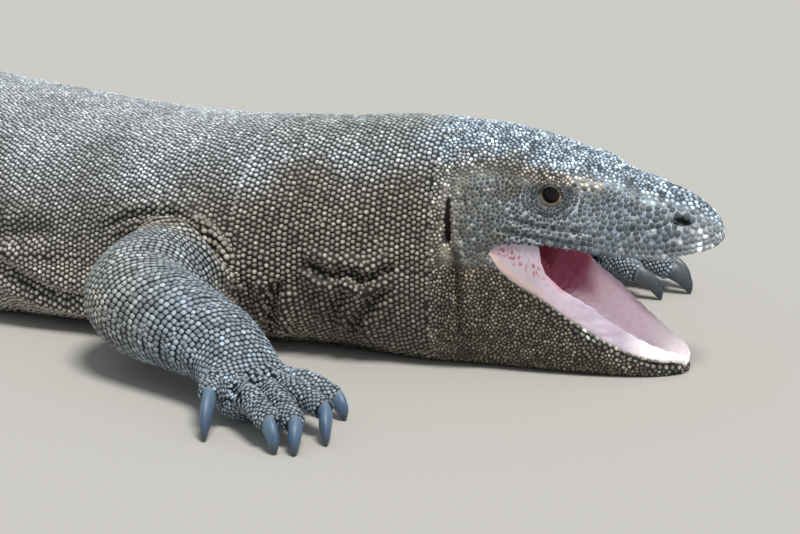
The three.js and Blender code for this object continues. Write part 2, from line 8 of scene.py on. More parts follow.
import logging
from dataclasses import dataclass, field
from enum import Enum
from typing import Callable, Sequence

import bmesh
import bpy
import numpy as np
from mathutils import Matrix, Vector
from mathutils.bvhtree import BVHTree
from mathutils.kdtree import KDTree


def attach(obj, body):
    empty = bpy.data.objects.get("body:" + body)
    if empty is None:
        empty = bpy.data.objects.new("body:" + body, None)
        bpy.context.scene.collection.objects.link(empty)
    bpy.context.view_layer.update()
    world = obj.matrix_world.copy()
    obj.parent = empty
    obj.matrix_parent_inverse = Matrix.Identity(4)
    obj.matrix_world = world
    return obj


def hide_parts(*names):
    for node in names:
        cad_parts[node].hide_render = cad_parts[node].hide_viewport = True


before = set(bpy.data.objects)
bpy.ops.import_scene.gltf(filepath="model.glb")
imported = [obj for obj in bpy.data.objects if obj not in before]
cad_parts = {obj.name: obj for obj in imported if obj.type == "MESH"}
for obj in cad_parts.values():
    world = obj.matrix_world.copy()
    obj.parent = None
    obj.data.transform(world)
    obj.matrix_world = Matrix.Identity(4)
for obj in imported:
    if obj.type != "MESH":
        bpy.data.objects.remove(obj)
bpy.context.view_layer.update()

log = logging.getLogger("dragon")
Array = np.ndarray
Piece = bpy.types.Object
Mesh = bpy.types.Mesh
Material = bpy.types.Material
MM = 0.001
SEED = 7
COAT_DEPTH = 1.2
SCALE_SUNK = 0.35
LEAST_ROOT_GAP = 0.9
PATCH_HALF = 0.0014
PATCH_MARGIN = 0.01


# ---- Numbers along a line ----


class Stations:
    """A table of values at stations, read on a smooth curve that doesn't overshoot."""

    def __init__(self, names: str, rows: Sequence[Sequence[float]]) -> None:
        """Keep columns by name: the names are parted by spaces, the station's place first."""
        table = np.array(rows, dtype=float)
        self.at = table[:, 0]
        self.columns = dict(zip(names.split()[1:], table[:, 1:].T))

    def __call__(self, name: str, at: Array) -> Array:
        """Read a column: a cubic between stations, with the harmonic mean of the slopes.

        Args:
            name: The column.
            at: Places along the line.

        Returns:
            The column's values there.
        """
        value = self.columns[name]
        step = np.diff(self.at)
        slope = np.diff(value) / step
        both = slope[:-1] * slope[1:]
        total = np.where(both > 0, slope[:-1] + slope[1:], 1.0)
        inner = np.where(both > 0, 2 * both / total, 0.0)
        tangent = np.concatenate([slope[:1], inner, slope[-1:]])
        at = np.asarray(at, dtype=float)
        i = np.clip(np.searchsorted(self.at, at, side="left") - 1, 0, len(step) - 1)
        t = np.clip((at - self.at[i]) / step[i], 0, 1)
        m, n = tangent[i] * step[i], tangent[i + 1] * step[i]
        rise = (2 * t**3 - 3 * t**2 + 1) * value[i] + (3 * t**2 - 2 * t**3) * value[i + 1]
        return rise + (t**3 - 2 * t**2 + t) * m + (t**3 - t**2) * n

    def row(self, at: Array) -> list[Array]:
        """Every column's values at places, in the table's order."""
        return [self(name, at) for name in self.columns]


class Course:
    """A smooth curve through points: a Catmull-Rom spline with centripetal knots."""

    def __init__(self, points: Sequence[Sequence[float]]) -> None:
        """Keep the points and measure the curve.

        Args:
            points: The points that it passes, at least two.
        """
        inner = np.array(points, dtype=float)
        first, last = 2 * inner[0] - inner[1], 2 * inner[-1] - inner[-2]
        self.points = np.vstack([first, inner, last])
        self.spans = len(inner) - 1
        shares = np.linspace(0, 1, 4001)
        steps = np.linalg.norm(np.diff(self.point(shares), axis=0), axis=1)
        self.shares = shares
        self.lengths = np.concatenate([[0.0], np.cumsum(steps)])
        self.length = float(self.lengths[-1])

    def point(self, t: Array) -> Array:
        """Places at shares of the number of spans.

        Args:
            t: Shares from 0 to 1.

        Returns:
            An array of points, one for each share.
        """
        t = np.atleast_1d(np.asarray(t, dtype=float)) * self.spans
        i = np.clip(np.floor(t).astype(int), 0, self.spans - 1)
        w = (t - i)[:, None]
        a, b, c, d = (self.points[i + k] for k in range(4))
        ab, bc, cd = (np.linalg.norm(q - p, axis=1)[:, None] ** 0.5 for p, q in ((a, b), (b, c), (c, d)))
        m = ((b - a) / ab - (c - a) / (ab + bc) + (c - b) / bc) * bc
        n = ((c - b) / bc - (d - b) / (bc + cd) + (d - c) / cd) * bc
        even = (2 * w**3 - 3 * w**2 + 1) * b + (3 * w**2 - 2 * w**3) * c
        return even + (w**3 - 2 * w**2 + w) * m + (w**3 - w**2) * n

    def tangent(self, t: Array) -> Array:
        """Unit directions of the curve at shares, from two points close by."""
        t = np.atleast_1d(np.asarray(t, dtype=float))
        ahead = self.point(np.minimum(t + 1e-4, 1)) - self.point(np.maximum(t - 1e-4, 0))
        return unit(ahead)

    def share(self, length: Array) -> Array:
        """The share of the spans at lengths along the curve."""
        return np.interp(length, self.lengths, self.shares)

    def spaced(self, start: float, end: float, step: float) -> Array:
        """Shares between two shares, at equal steps of length."""
        first, last = np.interp([start, end], self.shares, self.lengths)
        return self.share(np.arange(first, last, step))


def unit(vectors: Array) -> Array:
    """Vectors divided by their lengths."""
    return vectors / np.maximum(np.linalg.norm(vectors, axis=-1, keepdims=True), 1e-9)


def crossing(rows: Array, columns: Array) -> list[Array]:
    """Two parameters at every crossing of a grid's rows and columns."""
    return np.meshgrid(rows, columns, indexing="ij")


def level_way(angle: float) -> Array:
    """The level unit vector at an angle from +X."""
    return np.array([np.cos(angle), np.sin(angle), 0])


def square_to(along: Array) -> tuple[Array, Array]:
    """Level unit vectors to the left of directions, and the vectors square to both."""
    aside = unit(np.stack([-along[:, 1], along[:, 0], np.zeros(len(along))], axis=1))
    return aside, np.cross(along, aside)


def side_name(side: int) -> str:
    """The name of a side: the right one is -1."""
    return "right" if side < 0 else "left"


def signed_power(value: Array, power: Array) -> Array:
    """A power of a number's size, with the number's sign."""
    return np.sign(value) * np.abs(value) ** power


def bell(value: Array, width: float) -> Array:
    """A smooth bump: 1 at zero, and about a third at the width."""
    return np.exp(-((value / width) ** 2))


def ramp(value: Array, start: float, end: float) -> Array:
    """A smooth step from 0 at the start to 1 at the end."""
    t = np.clip((value - start) / (end - start), 0, 1)
    return t * t * (3 - 2 * t)


class Mottle:
    """Soft irregular patches: a sum of plane waves in seeded directions, from about -1 to 1."""

    def __init__(self, size: float, seed: int, waves: int = 14) -> None:
        """Draw the waves.

        Args:
            size: The usual length of a wave in millimetres.
            seed: The seed of the draw.
            waves: How many there are.
        """
        draw = np.random.default_rng(seed)
        way = unit(draw.normal(size=(waves, 3)))
        self.ways = way * (2 * np.pi / (size * draw.uniform(0.6, 1.7, (waves, 1))))
        self.phases = draw.uniform(0, 2 * np.pi, waves)

    def __call__(self, points: Array) -> Array:
        """The patches' strength at points in millimetres."""
        return np.sin(points @ self.ways.T + self.phases).sum(axis=1) / len(self.phases) ** 0.5 / 1.2


# ---- The animal's sizes ----

NAPE = 10.0
GAPE_CORNER = 29.0
JAW_HANG = -5.0
PALATE_RISE = 7.0
TROUGH_DEPTH = 10.0
SPINE_LEAD = 100.0

BODY = Stations("at half top widest bottom crown keel", [
    (10, 69, 182, 78, -5, 2.15, 3.2), (45, 74, 181, 80, -4, 2.1, 2.8),
    (95, 83, 175, 74, -3, 2.1, 2.3), (150, 96, 169, 70, -4, 2.1, 2.4),
    (215, 115, 161, 68, -5, 2.15, 2.8), (300, 132, 154, 64, -6, 2.2, 3.2),
    (420, 150, 152, 62, -7, 2.2, 3.3), (590, 161, 156, 62, -8, 2.2, 3.3),
    (760, 151, 154, 62, -8, 2.2, 3.2), (900, 124, 146, 62, -7, 2.15, 2.9),
    (1010, 98, 135, 60, -5, 2.1, 2.6), (1100, 74, 119, 54, -4, 2.0, 2.4),
    (1230, 55, 104, 46, -3, 1.9, 2.3), (1450, 38, 84, 36, -3, 1.8, 2.3),
    (1750, 25, 60, 25, -2, 1.75, 2.2), (2100, 15, 38, 16, -2, 1.75, 2.2),
    (2400, 7, 19, 8, -1, 1.8, 2.2), (2530, 3, 8, 3.5, -0.5, 2.0, 2.2),
])
SKULL = Stations("at half top lip crown", [
    (-10, 69, 182, 78, 2.15), (0, 67, 181, 84, 2.15), (15, 64.5, 181, 92, 2.15),
    (30, 60, 180, 98, 2.1), (50, 55, 177, 101, 2.2), (72, 51, 172, 101, 2.35),
    (90, 48, 165, 99, 2.5), (110, 44, 160, 96, 2.6), (132, 40, 152, 93, 2.8),
    (152, 35, 145, 92, 2.9), (172, 28.5, 138, 95, 2.8), (186, 22, 130, 98, 2.7),
    (195, 14.5, 122, 101, 2.6), (199, 8, 117, 104, 2.4),
])
JAW = Stations("at half rim keel", [
    (-10, 69, 78, 3.2), (0, 67, 84, 3.2), (15, 64.5, 92, 3.4), (30, 60, 97, 3.6),
    (42, 57, 83, 3.6), (57, 55, 72, 3.6), (76, 52, 61, 3.6), (94, 48, 48, 3.6),
    (116, 42.5, 34, 3.4), (138, 35, 22, 3.2), (158, 25, 15, 3.0), (170, 15, 13, 2.8),
    (176, 6, 11, 2.4),
])


class HeadFrame:
    """The head's own frame, turned to the left of the body's axis."""

    origin = np.array([588.0, 25.0, 0.0])
    turn = np.radians(14.0)
    forward = np.array([np.cos(turn), np.sin(turn), 0.0])
    left = np.array([-np.sin(turn), np.cos(turn), 0.0])

    @classmethod
    def place(cls, at: Array, left: Array, height: Array) -> Array:
        """Points of the head from arrays of their three numbers."""
        at, left, height = np.broadcast_arrays(*(np.asarray(v, dtype=float) for v in (at, left, height)))
        up = np.array([0.0, 0.0, 1.0])
        return cls.origin + at[..., None] * cls.forward + left[..., None] * cls.left + height[..., None] * up

    @classmethod
    def read(cls, points: Array) -> tuple[Array, Array, Array]:
        """How far points lie in front, to the left and up."""
        away = points - cls.origin
        return away @ cls.forward, away @ cls.left, points[..., 2]


HEAD = HeadFrame


# ---- Meshes ----


def linked(name: str, data: bpy.types.ID) -> Piece:
    """A new object in the scene, made of data."""
    made = bpy.data.objects.new(name, data)
    bpy.context.scene.collection.objects.link(made)
    return made


def new_piece(name: str, points: Array, faces: Array, smooth: bool = True) -> Piece:
    """Make an object from arrays of points in millimetres and faces of equal length.

    Args:
        name: The piece's name.
        points: Its vertices.
        faces: Its faces as rows of vertex numbers.
        smooth: Whether its shading is smooth.

    Returns:
        The object, linked to the scene.
    """
    mesh = bpy.data.meshes.new(name)
    size = faces.shape[1]
    mesh.vertices.add(len(points))
    mesh.vertices.foreach_set("co", (points * MM).astype(np.float32).ravel())
    mesh.loops.add(faces.size)
    mesh.loops.foreach_set("vertex_index", faces.astype(np.int32).ravel())
    mesh.polygons.add(len(faces))
    mesh.polygons.foreach_set("loop_start", np.arange(0, faces.size, size, dtype=np.int32))
    mesh.update(calc_edges=True)
    mesh.validate()
    mesh.shade_smooth() if smooth else mesh.shade_flat()
    return linked(name, mesh)


def set_colour(mesh: Mesh, values: Array) -> None:
    """Store a colour for each vertex, which the finishes read: the markings, with painted shade and painted
    light where the callers put them in.
    """
    layer = mesh.color_attributes.new("Marking", "FLOAT_COLOR", "POINT")
    rgba = np.ones((len(mesh.vertices), 4), dtype=np.float32)
    rgba[:, :3] = values
    layer.data.foreach_set("color", rgba.ravel())


def set_value(mesh: Mesh, name: str, values: Array) -> None:
    """Store a number for each vertex."""
    layer = mesh.attributes.new(name, "FLOAT", "POINT")
    layer.data.foreach_set("value", np.asarray(values, dtype=np.float32))


def values_of(items: bpy.types.bpy_prop_collection, key: str, width: int, kind: type = np.float32) -> Array:
    """A property of many items, as rows of numbers."""
    out = np.empty(len(items) * width, dtype=kind)
    items.foreach_get(key, out)
    return out.reshape(-1, width)


def points_of(mesh: Mesh) -> Array:
    """A mesh's vertices in millimetres."""
    return values_of(mesh.vertices, "co", 3).astype(float) / MM


def normals_of(mesh: Mesh) -> Array:
    """A mesh's vertex normals."""
    return values_of(mesh.vertex_normals, "vector", 3).astype(float)


def sheet_faces(rows: int, columns: int, joined: bool) -> Array:
    """Quads over a grid of points.

    Args:
        rows: How many rows of points there are.
        columns: How many points each row has.
        joined: Whether the last column is joined to the first.

    Returns:
        Faces as rows of four vertex numbers.
    """
    row, column = crossing(np.arange(rows - 1), np.arange(columns if joined else columns - 1))
    here, after = row * columns, (column + 1) % columns
    quads = [here + column, here + after, here + columns + after, here + columns + column]
    return np.stack([q.ravel() for q in quads], axis=1)


def closed_loft(rings: Array) -> tuple[Array, Array]:
    """A closed shape over rings: quads between rings, and a fan of triangles on each end.

    Args:
        rings: Points as rows of rings.

    Returns:
        Points and triangles that face outwards.
    """
    rows, columns = rings.shape[:2]
    quads = sheet_faces(rows, columns, True)
    middles = np.stack([rings[0].mean(axis=0), rings[-1].mean(axis=0)])
    points = np.vstack([rings.reshape(-1, 3), middles])
    k = np.arange(columns)
    start, last = rows * columns, (rows - 1) * columns
    front = np.stack([(k + 1) % columns, k, np.full(columns, start)], axis=1)
    back = np.stack([last + k, last + (k + 1) % columns, np.full(columns, start + 1)], axis=1)
    triangles = np.vstack([quads[:, [0, 1, 2]], quads[:, [0, 2, 3]], front, back])
    a, b, c = (points[triangles[:, n]] for n in range(3))
    volume = np.einsum("ij,ij->i", a, np.cross(b, c)).sum()
    return points, triangles if volume > 0 else triangles[:, ::-1]


def lofted(surface: Callable[[Array, Array], Array], at: Array, columns: int) -> tuple[Array, Array]:
    """The closed shape of a surface that is worked out from stations and angles."""
    angle = np.linspace(0, 2 * np.pi, columns, endpoint=False)
    points = surface(np.repeat(at, columns), np.tile(angle, len(at)))
    return closed_loft(points.reshape(len(at), columns, 3))


def joined(shapes: Sequence[tuple[Array, Array]]) -> tuple[Array, Array]:
    """One set of points and faces from several."""
    starts = np.cumsum([0] + [len(points) for points, _ in shapes[:-1]])
    faces = [f + start for (_, f), start in zip(shapes, starts)]
    return np.vstack([points for points, _ in shapes]), np.vstack(faces)


# ---- The forms of the body ----


@dataclass
class Trunk:
    """Neck, trunk and tail as one shape along the spine."""

    spine: Course = field(default_factory=lambda: Course([
        (*(HEAD.origin + SPINE_LEAD * HEAD.forward)[:2], 0), (588, 25, 0), (530, 11.5, 0), (470, 3, 0),
        (400, 0, 0), (200, 0, 0), (0, 0, 0), (-250, 0, 0), (-430, 4, 0), (-560, 20, 0),
        (-820, 76, 0), (-1110, 130, 0), (-1400, 132, 0), (-1670, 76, 0), (-1925, -10, 0),
    ]))
    end: float = 2529.0

    def axis(self, at: Array) -> tuple[Array, Array]:
        """The spine's place and the direction to its left.

        Args:
            at: Distances behind the ear openings.

        Returns:
            Points on the floor under the spine, and unit vectors.
        """
        at = np.atleast_1d(np.asarray(at, dtype=float))
        share = self.spine.share(np.clip(SPINE_LEAD + at, 0, self.spine.length))
        tangent = self.spine.tangent(share)
        left = np.stack([tangent[:, 1], -tangent[:, 0], np.zeros(len(at))], axis=1)
        return self.spine.point(share), left

    def surface(self, at: Array, angle: Array) -> Array:
        """Points of the body: a half width and a height, rounded by the powers of crown and keel.

        Args:
            at: Distances behind the ear openings.
            angle: Angles round the section, 0 on the left, a quarter turn at the top.

        Returns:
            Points, pressed flat by the floor.
        """
        place, left = self.axis(at)
        half, top, widest, bottom, crown, keel = BODY.row(at)
        upper = np.sin(angle) >= 0
        power = 2 / np.where(upper, crown, keel)
        rise = np.where(upper, top - widest, widest - bottom) * signed_power(np.sin(angle), power)
        points = place + left * (half * signed_power(np.cos(angle), power))[:, None]
        points[:, 2] = np.maximum(0, widest + rise)
        return points

    def shape(self) -> tuple[Array, Array]:
        """The closed shape of the whole body."""
        at = np.concatenate([np.arange(NAPE - 2, 1300, 5.0), np.linspace(1300, self.end, 160)])
        return lofted(self.surface, at, 120)

    def covers(self, points: Array, margin: float) -> Array:
        """Which points lie inside the body by more than a margin."""
        at = np.arange(NAPE - 12, self.end, 6.0)
        place, left = self.axis(at)
        away = ((points[:, None, :2] - place[None, :, :2]) ** 2).sum(axis=2)
        nearest = away.argmin(axis=1)
        across = ((points - place[nearest])[:, :2] * left[nearest][:, :2]).sum(axis=1)
        half, top, widest, bottom, crown, keel = BODY.row(at[nearest])
        upper = points[:, 2] > widest
        power = np.where(upper, crown, keel)
        tall = np.where(upper, top - widest, widest - bottom) - margin
        reach = np.abs(across / np.maximum(half - margin, 1)) ** power
        rise = np.abs((points[:, 2] - widest) / np.maximum(tall, 1)) ** power
        ends = away[np.arange(len(points)), nearest] > (half + 20) ** 2
        return (reach + rise < 1) & ~ends


ARM_JOINTS = {
    "right": ((412, -62, 62), (412, -158, 56), (517, -190, 38), -30.0),
    "left": ((412, 62, 62), (410, 186, 56), (530, 250, 38), -3.0),
}
LEG_JOINTS = {
    "right": ((-400, -50, 66), (-316, -226, 58), (-446, -272, 38), -42.0),
    "left": ((-404, 58, 66), (-346, 238, 58), (-480, 276, 38), 38.0),
}
ARM_THICKNESS = (((46, 44), (49, 46), (47, 44), (43, 41)), ((43, 41), (44, 40), (38, 34), (31, 28)),
                 ((31, 28), (34, 20), (27, 14)))
LEG_THICKNESS = (((60, 52), (62, 56), (55, 50), (46, 43)), ((46, 43), (44, 41), (36, 34), (29, 28)),
                 ((29, 28), (31, 20), (30, 14)))
FINGERS = ((26, 23, 44, 50, 14, 10, -30), (41, 16, 14, 61, 20, 19, -35), (46, 4, -2, 68, 18, 15, -24),
           (41, -9, -5, 65, 18, 13, 0), (24, -18, -34, 34, 27, 23, 0))
TOES = ((44, 24, 30, 44, 15, 15, 0), (66, 18, 14, 62, 18, 18, 0), (73, 5, 2, 76, 19, 19, 0),
        (68, -9, -10, 88, 19, 19, 0), (26, -20, -44, 56, 16, 16, 0))
KNUCKLE_HEIGHT = 23.0
KNUCKLE_ARCH = 5.0


def section_ring(middle: Array, along: Array, wide: Array, high: Array, angle: Array) -> Array:
    """Points round a path: an oval square to a direction, level on its sides.

    Args:
        middle: Points of the path.
        along: Directions that the ovals face.
        wide: Half widths.
        high: Half heights.
        angle: Angles round the ovals.

    Returns:
        Points, pressed flat by the floor.
    """
    aside, up = square_to(along)
    points = middle + aside * (wide * np.cos(angle))[:, None] + up * (high * np.sin(angle))[:, None]
    points[:, 2] = np.maximum(points[:, 2], 0)
    return points


@dataclass
class Limb:
    """An arm or a leg as one shape from inside the trunk to the palm or sole."""

    joints: tuple
    thickness: tuple
    reach: float
    height: float = 14.0

    def __post_init__(self) -> None:
        """Lay the path through the joints."""
        root, bend, end, turn = self.joints
        self.heading = np.radians(turn)
        self.ahead = level_way(self.heading)
        toe = np.array(end) + self.ahead * self.reach
        toe[2] = self.height
        self.corners = np.array([root, bend, end, toe], dtype=float)
        self.course = Course(self.corners)
        steps = unit(np.diff(self.corners, axis=0))
        self.facing = np.vstack([steps[:1], unit(steps[1:] + steps[:-1]), steps[-1:]])

    def direction(self, t: Array) -> Array:
        """The direction of rings: it halves the bend at a joint and turns evenly in between."""
        t = np.atleast_1d(t) * 3
        i = np.clip(np.floor(t).astype(int), 0, 2)
        w = (t - i)[:, None]
        return unit(self.facing[i] * (1 - w) + self.facing[i + 1] * w)

    def size(self, t: Array) -> Array:
        """Half width and half height at shares of the path, from each length's table."""
        t = np.clip(np.atleast_1d(t), 0, 1)
        lengths = enumerate(self.thickness)
        places = np.concatenate([(i + np.linspace(0, 1, len(rows))) / 3 for i, rows in lengths])
        values = np.array([row for rows in self.thickness for row in rows], dtype=float)
        return np.stack([np.interp(t, places, values[:, n]) for n in range(2)], axis=1)

    def surface(self, t: Array, angle: Array) -> Array:
        """Points of the limb at shares of its path; past its end they round off.

        Args:
            t: Shares of the path, up to 1.1 for the rounded end.
            angle: Angles round the limb.

        Returns:
            Points.
        """
        size = self.size(t)
        beyond = np.clip((t - 1) / 0.1, 0, 1) * np.pi / 2
        shrink = np.cos(beyond)
        middle = self.course.point(np.minimum(t, 1)) + self.ahead * (size[:, 1] * np.sin(beyond))[:, None]
        wide, high = size[:, 0] * shrink, size[:, 1] * shrink
        return section_ring(middle, self.direction(np.minimum(t, 1)), wide, high, angle)

    def shape(self) -> tuple[Array, Array]:
        """The closed shape of the limb."""
        t = np.concatenate([np.linspace(0.01, 1, 110), np.linspace(1.01, 1.095, 9)])
        return lofted(self.surface, t, 48)

    def covers(self, points: Array, margin: float) -> Array:
        """Which points lie inside the limb by more than a margin."""
        t = np.linspace(0, 1.04, 80)
        size = self.size(t)
        middle = self.course.point(np.minimum(t, 1)) + self.ahead * (np.maximum(t - 1, 0) * 200)[:, None]
        along = self.direction(np.minimum(t, 1))
        aside, up = square_to(along)
        away = points[:, None] - middle[None]
        apart = np.abs((away * along[None]).sum(axis=2))
        wide = (away * aside[None]).sum(axis=2) / (size[None, :, 0] - margin)
        high = (away * up[None]).sum(axis=2) / (size[None, :, 1] - margin)
        return ((wide**2 + high**2 < 1) & (apart < 5)).any(axis=1)


@dataclass
class Digit:
    """A finger or a toe with its claw, on one path from the knuckle to the claw's tip."""

    wrist: tuple
    heading: float
    side: float
    form: tuple
    root: float = 12.5
    end: float = 9.0
    claw_root: float = 5.8
    fuller: float = 0.4

    def __post_init__(self) -> None:
        """Lay the path: knuckle, arch, root of the claw, bow of the claw, and its tip."""
        ahead, aside, spread, length, rise, claw, hook = self.form
        inner = self.side * np.array([-np.sin(self.heading), np.cos(self.heading), 0])
        knuckle = np.array([*self.wrist[:2], 0]) + level_way(self.heading) * ahead + inner * aside
        along = level_way(self.heading + self.side * np.radians(spread))
        onward = level_way(self.heading + self.side * np.radians(spread + hook))
        up = np.array([0, 0, 1.0])
        tip = knuckle + along * length
        self.course = Course([
            knuckle + up * KNUCKLE_HEIGHT,
            knuckle + along * length / 2 + up * ((KNUCKLE_HEIGHT + rise) / 2 + KNUCKLE_ARCH),
            tip + up * rise,
            tip + onward * 0.65 * claw + up * 0.6 * rise,
            tip + onward * claw + up * 0.7,
        ])

    def surface(self, t: Array, angle: Array) -> Array:
        """Points of the fleshy digit, with a pad under each joint and a rounded end.

        The radius falls from root to end; it swells at two joints, and closes in past t = 0.46.

        Args:
            t: Shares of the path, from 0 to 0.5.
            angle: Angles round the digit.

        Returns:
            Points.
        """
        radius = np.interp(t, [0, 0.25, 0.5], [self.root, self.end + 1, self.end]) + self.fuller
        radius = radius * (1 + 0.05 * np.cos(4 * np.pi * t / 0.5))
        radius = radius * np.interp(t, [0.43, 0.48, 0.505], [1, 0.93, 0.7])
        return section_ring(self.course.point(t), self.course.tangent(t), radius, radius, angle)

    def shape(self) -> tuple[Array, Array]:
        """The closed shape of the digit."""
        t = np.linspace(0, 0.505, 34)
        return lofted(self.surface, t, 24)

    def covers(self, points: Array, margin: float) -> Array:
        """Which points lie inside the digit by more than a margin."""
        t = np.linspace(0, 0.48, 24)
        radius = np.interp(t, [0, 0.25, 0.5], [self.root, self.end + 1, self.end]) - margin
        away = ((points[:, None] - self.course.point(t)[None]) ** 2).sum(axis=2)
        return (away < radius[None] ** 2).any(axis=1)


@dataclass
class Foot:
    """A hand or a foot: its limb, its digits and the names of the nodes that they stand for."""

    name: str
    side: str
    limb: Limb
    digits: list[Digit]
    claw: str

    def webs(self) -> list["Fold"]:
        """The grooves between neighbouring digits, from the back of the hand to where they part."""
        out = []
        t = np.linspace(0.0, 0.46, 6)
        order = sorted(self.digits, key=lambda digit: digit.form[1])
        for one, other in zip(order, order[1:]):
            line = (one.course.point(t) + other.course.point(t)) / 2
            apart = np.linalg.norm(one.course.point(t) - other.course.point(t), axis=1)
            line[:, 2] += np.sqrt(np.maximum(np.linspace(13, 9, 6) ** 2 - (apart / 2) ** 2, 4))
            line = np.vstack([line[:1] - self.limb.ahead * 14, line])
            out.append(Fold(tuple(map(tuple, line)), 6.0, 2.9, 0.2))
        return out

    @classmethod
    def arm(cls, side: str) -> "Foot":
        """The forelimb of a side."""
        return cls.on(side, "arm", ARM_JOINTS[side], ARM_THICKNESS, 46, FINGERS, "finger_claw")

    @classmethod
    def leg(cls, side: str) -> "Foot":
        """The hindlimb of a side."""
        return cls.on(side, "leg", LEG_JOINTS[side], LEG_THICKNESS, 74, TOES, "toe_claw")

    @classmethod
    def on(cls, side: str, name: str, joints: tuple, thickness: tuple, reach: float,
           forms: tuple, claw: str) -> "Foot":
        """Build a limb with its digits from tables."""
        limb = Limb(joints, thickness, reach)
        sign = 1.0 if side == "right" else -1.0
        digits = [Digit(joints[2], limb.heading, sign, form) for form in forms]
        return cls(f"{name}_{side}", side, limb, digits, f"{claw}_{side}")


@dataclass
class Skull:
    """The head above the mouth, and the jaw below it, in the head's frame."""

    length: float = 199.0
    brow_at: float = 80.0
    brow_height: float = 153.0
    eye_at: float = 77.0
    eye_left: float = 32.5
    eye_height: float = 139.5
    eye_radius: float = 10.5
    ear_at: float = 2.8
    ear_height: float = 117.0

    @classmethod
    def from_eye(cls, at: Array, height: Array) -> Array:
        """How far points are from the eye's axis."""
        return np.hypot(at - cls.eye_at, height - cls.eye_height)

    def palate_rise(self, at: Array, share: Array) -> Array:
        """How far the palate rises over the lips: a low arch that starts at the mouth's corner."""
        rise = np.clip(0.2 * (at - GAPE_CORNER), 0, PALATE_RISE)
        return np.minimum(rise, 0.15 * (self.length - at)) * (1 - share**2)

    def trough_depth(self, at: Array, share: Array) -> Array:
        """How deep the mouth's floor lies under the rim of the jaw."""
        depth = np.clip(0.6 * (at - GAPE_CORNER), 0, TROUGH_DEPTH)
        shallow = 0.45 * JAW("rim", at)
        return np.minimum(depth, shallow) * np.minimum(1, 2.2 * (1 - np.abs(share)))

    def upper(self, at: Array, angle: Array) -> Array:
        """Points over the skull: half an oval raised to the crown's power, with the brow on it."""
        half, top, lip, crown = SKULL.row(at)
        across = half * signed_power(np.cos(angle), 2 / crown)
        height = lip + (top - lip) * signed_power(np.sin(angle), 2 / crown)
        brow = 3.5 * bell(at - self.brow_at, 24) * bell(height - self.brow_height, 9)
        return HEAD.place(at, across + brow * np.sign(across), height + 0.4 * brow)

    def lower(self, at: Array, angle: Array) -> Array:
        """Points under the jaw: half an oval raised to the keel's power, flat on the floor."""
        half, rim, keel = JAW.row(at)
        height = rim + (rim - JAW_HANG) * signed_power(np.sin(angle), 2 / keel)
        across = half * signed_power(np.cos(angle), 2 / keel)
        return HEAD.place(at, across, np.maximum(0, height))

    def shapes(self) -> list[tuple[Array, Array]]:
        """The closed shapes of skull and jaw, each closed inside the mouth by palate or trough."""
        out = []
        share = np.linspace(-1, 1, 25)[1:-1]
        rows = (np.concatenate([np.arange(-16, 190, 3.0), np.linspace(190, 198.9, 10)]),
                np.concatenate([np.arange(-16, 168, 3.0), np.linspace(168, 175.9, 9)]))
        for upper, at in zip((True, False), rows):
            angle = np.linspace(0, np.pi, 72) + (0 if upper else np.pi)
            line, row = np.repeat(at, len(angle)), np.tile(angle, len(at))
            arc = (self.upper if upper else self.lower)(line, row).reshape(len(at), -1, 3)
            place, across = crossing(at, share if upper else -share)
            half = (SKULL if upper else JAW)("half", place)
            if upper:
                height = SKULL("lip", place) + self.palate_rise(place, across)
            else:
                height = JAW("rim", place) - self.trough_depth(place, across)
            inside = HEAD.place(place, half * across, height)
            out.append(closed_loft(np.concatenate([arc, inside], axis=1)))
        return out


@dataclass
class Animal:
    """All the forms that the skin covers."""

    trunk: Trunk = field(default_factory=Trunk)
    skull: Skull = field(default_factory=Skull)
    feet: list[Foot] = field(default_factory=lambda: [
        Foot.arm("right"), Foot.arm("left"), Foot.leg("right"), Foot.leg("left")])

    def shapes(self) -> list[tuple[Array, Array]]:
        """The closed shapes of every part of flesh."""
        out = [self.trunk.shape(), *self.skull.shapes()]
        for foot in self.feet:
            out += [foot.limb.shape(), *(digit.shape() for digit in foot.digits)]
        return out


# ---- Colours of hide, mouth and horn ----


def tone(code: str) -> Array:
    """A colour from its hexadecimal sRGB code, as linear numbers."""
    value = np.array([int(code[n : n + 2], 16) for n in (0, 2, 4)]) / 255
    return np.where(value <= 0.04045, value / 12.92, ((value + 0.055) / 1.055) ** 2.4)


def plain(code: str, count: int) -> Array:
    """The same colour for a number of points."""
    return np.tile(tone(code), (count, 1))


def blend(base: Array, colour: Array | str, share: Array) -> Array:
    """Colours taken towards others, or towards a code's colour, by a share for each point."""
    goal = tone(colour) if isinstance(colour, str) else colour
    share = np.clip(share, 0, 1)[:, None]
    return base * (1 - share) + goal * share


SOFT_PATCHES = Mottle(70, 3)
FINE_PATCHES = Mottle(16, 4)


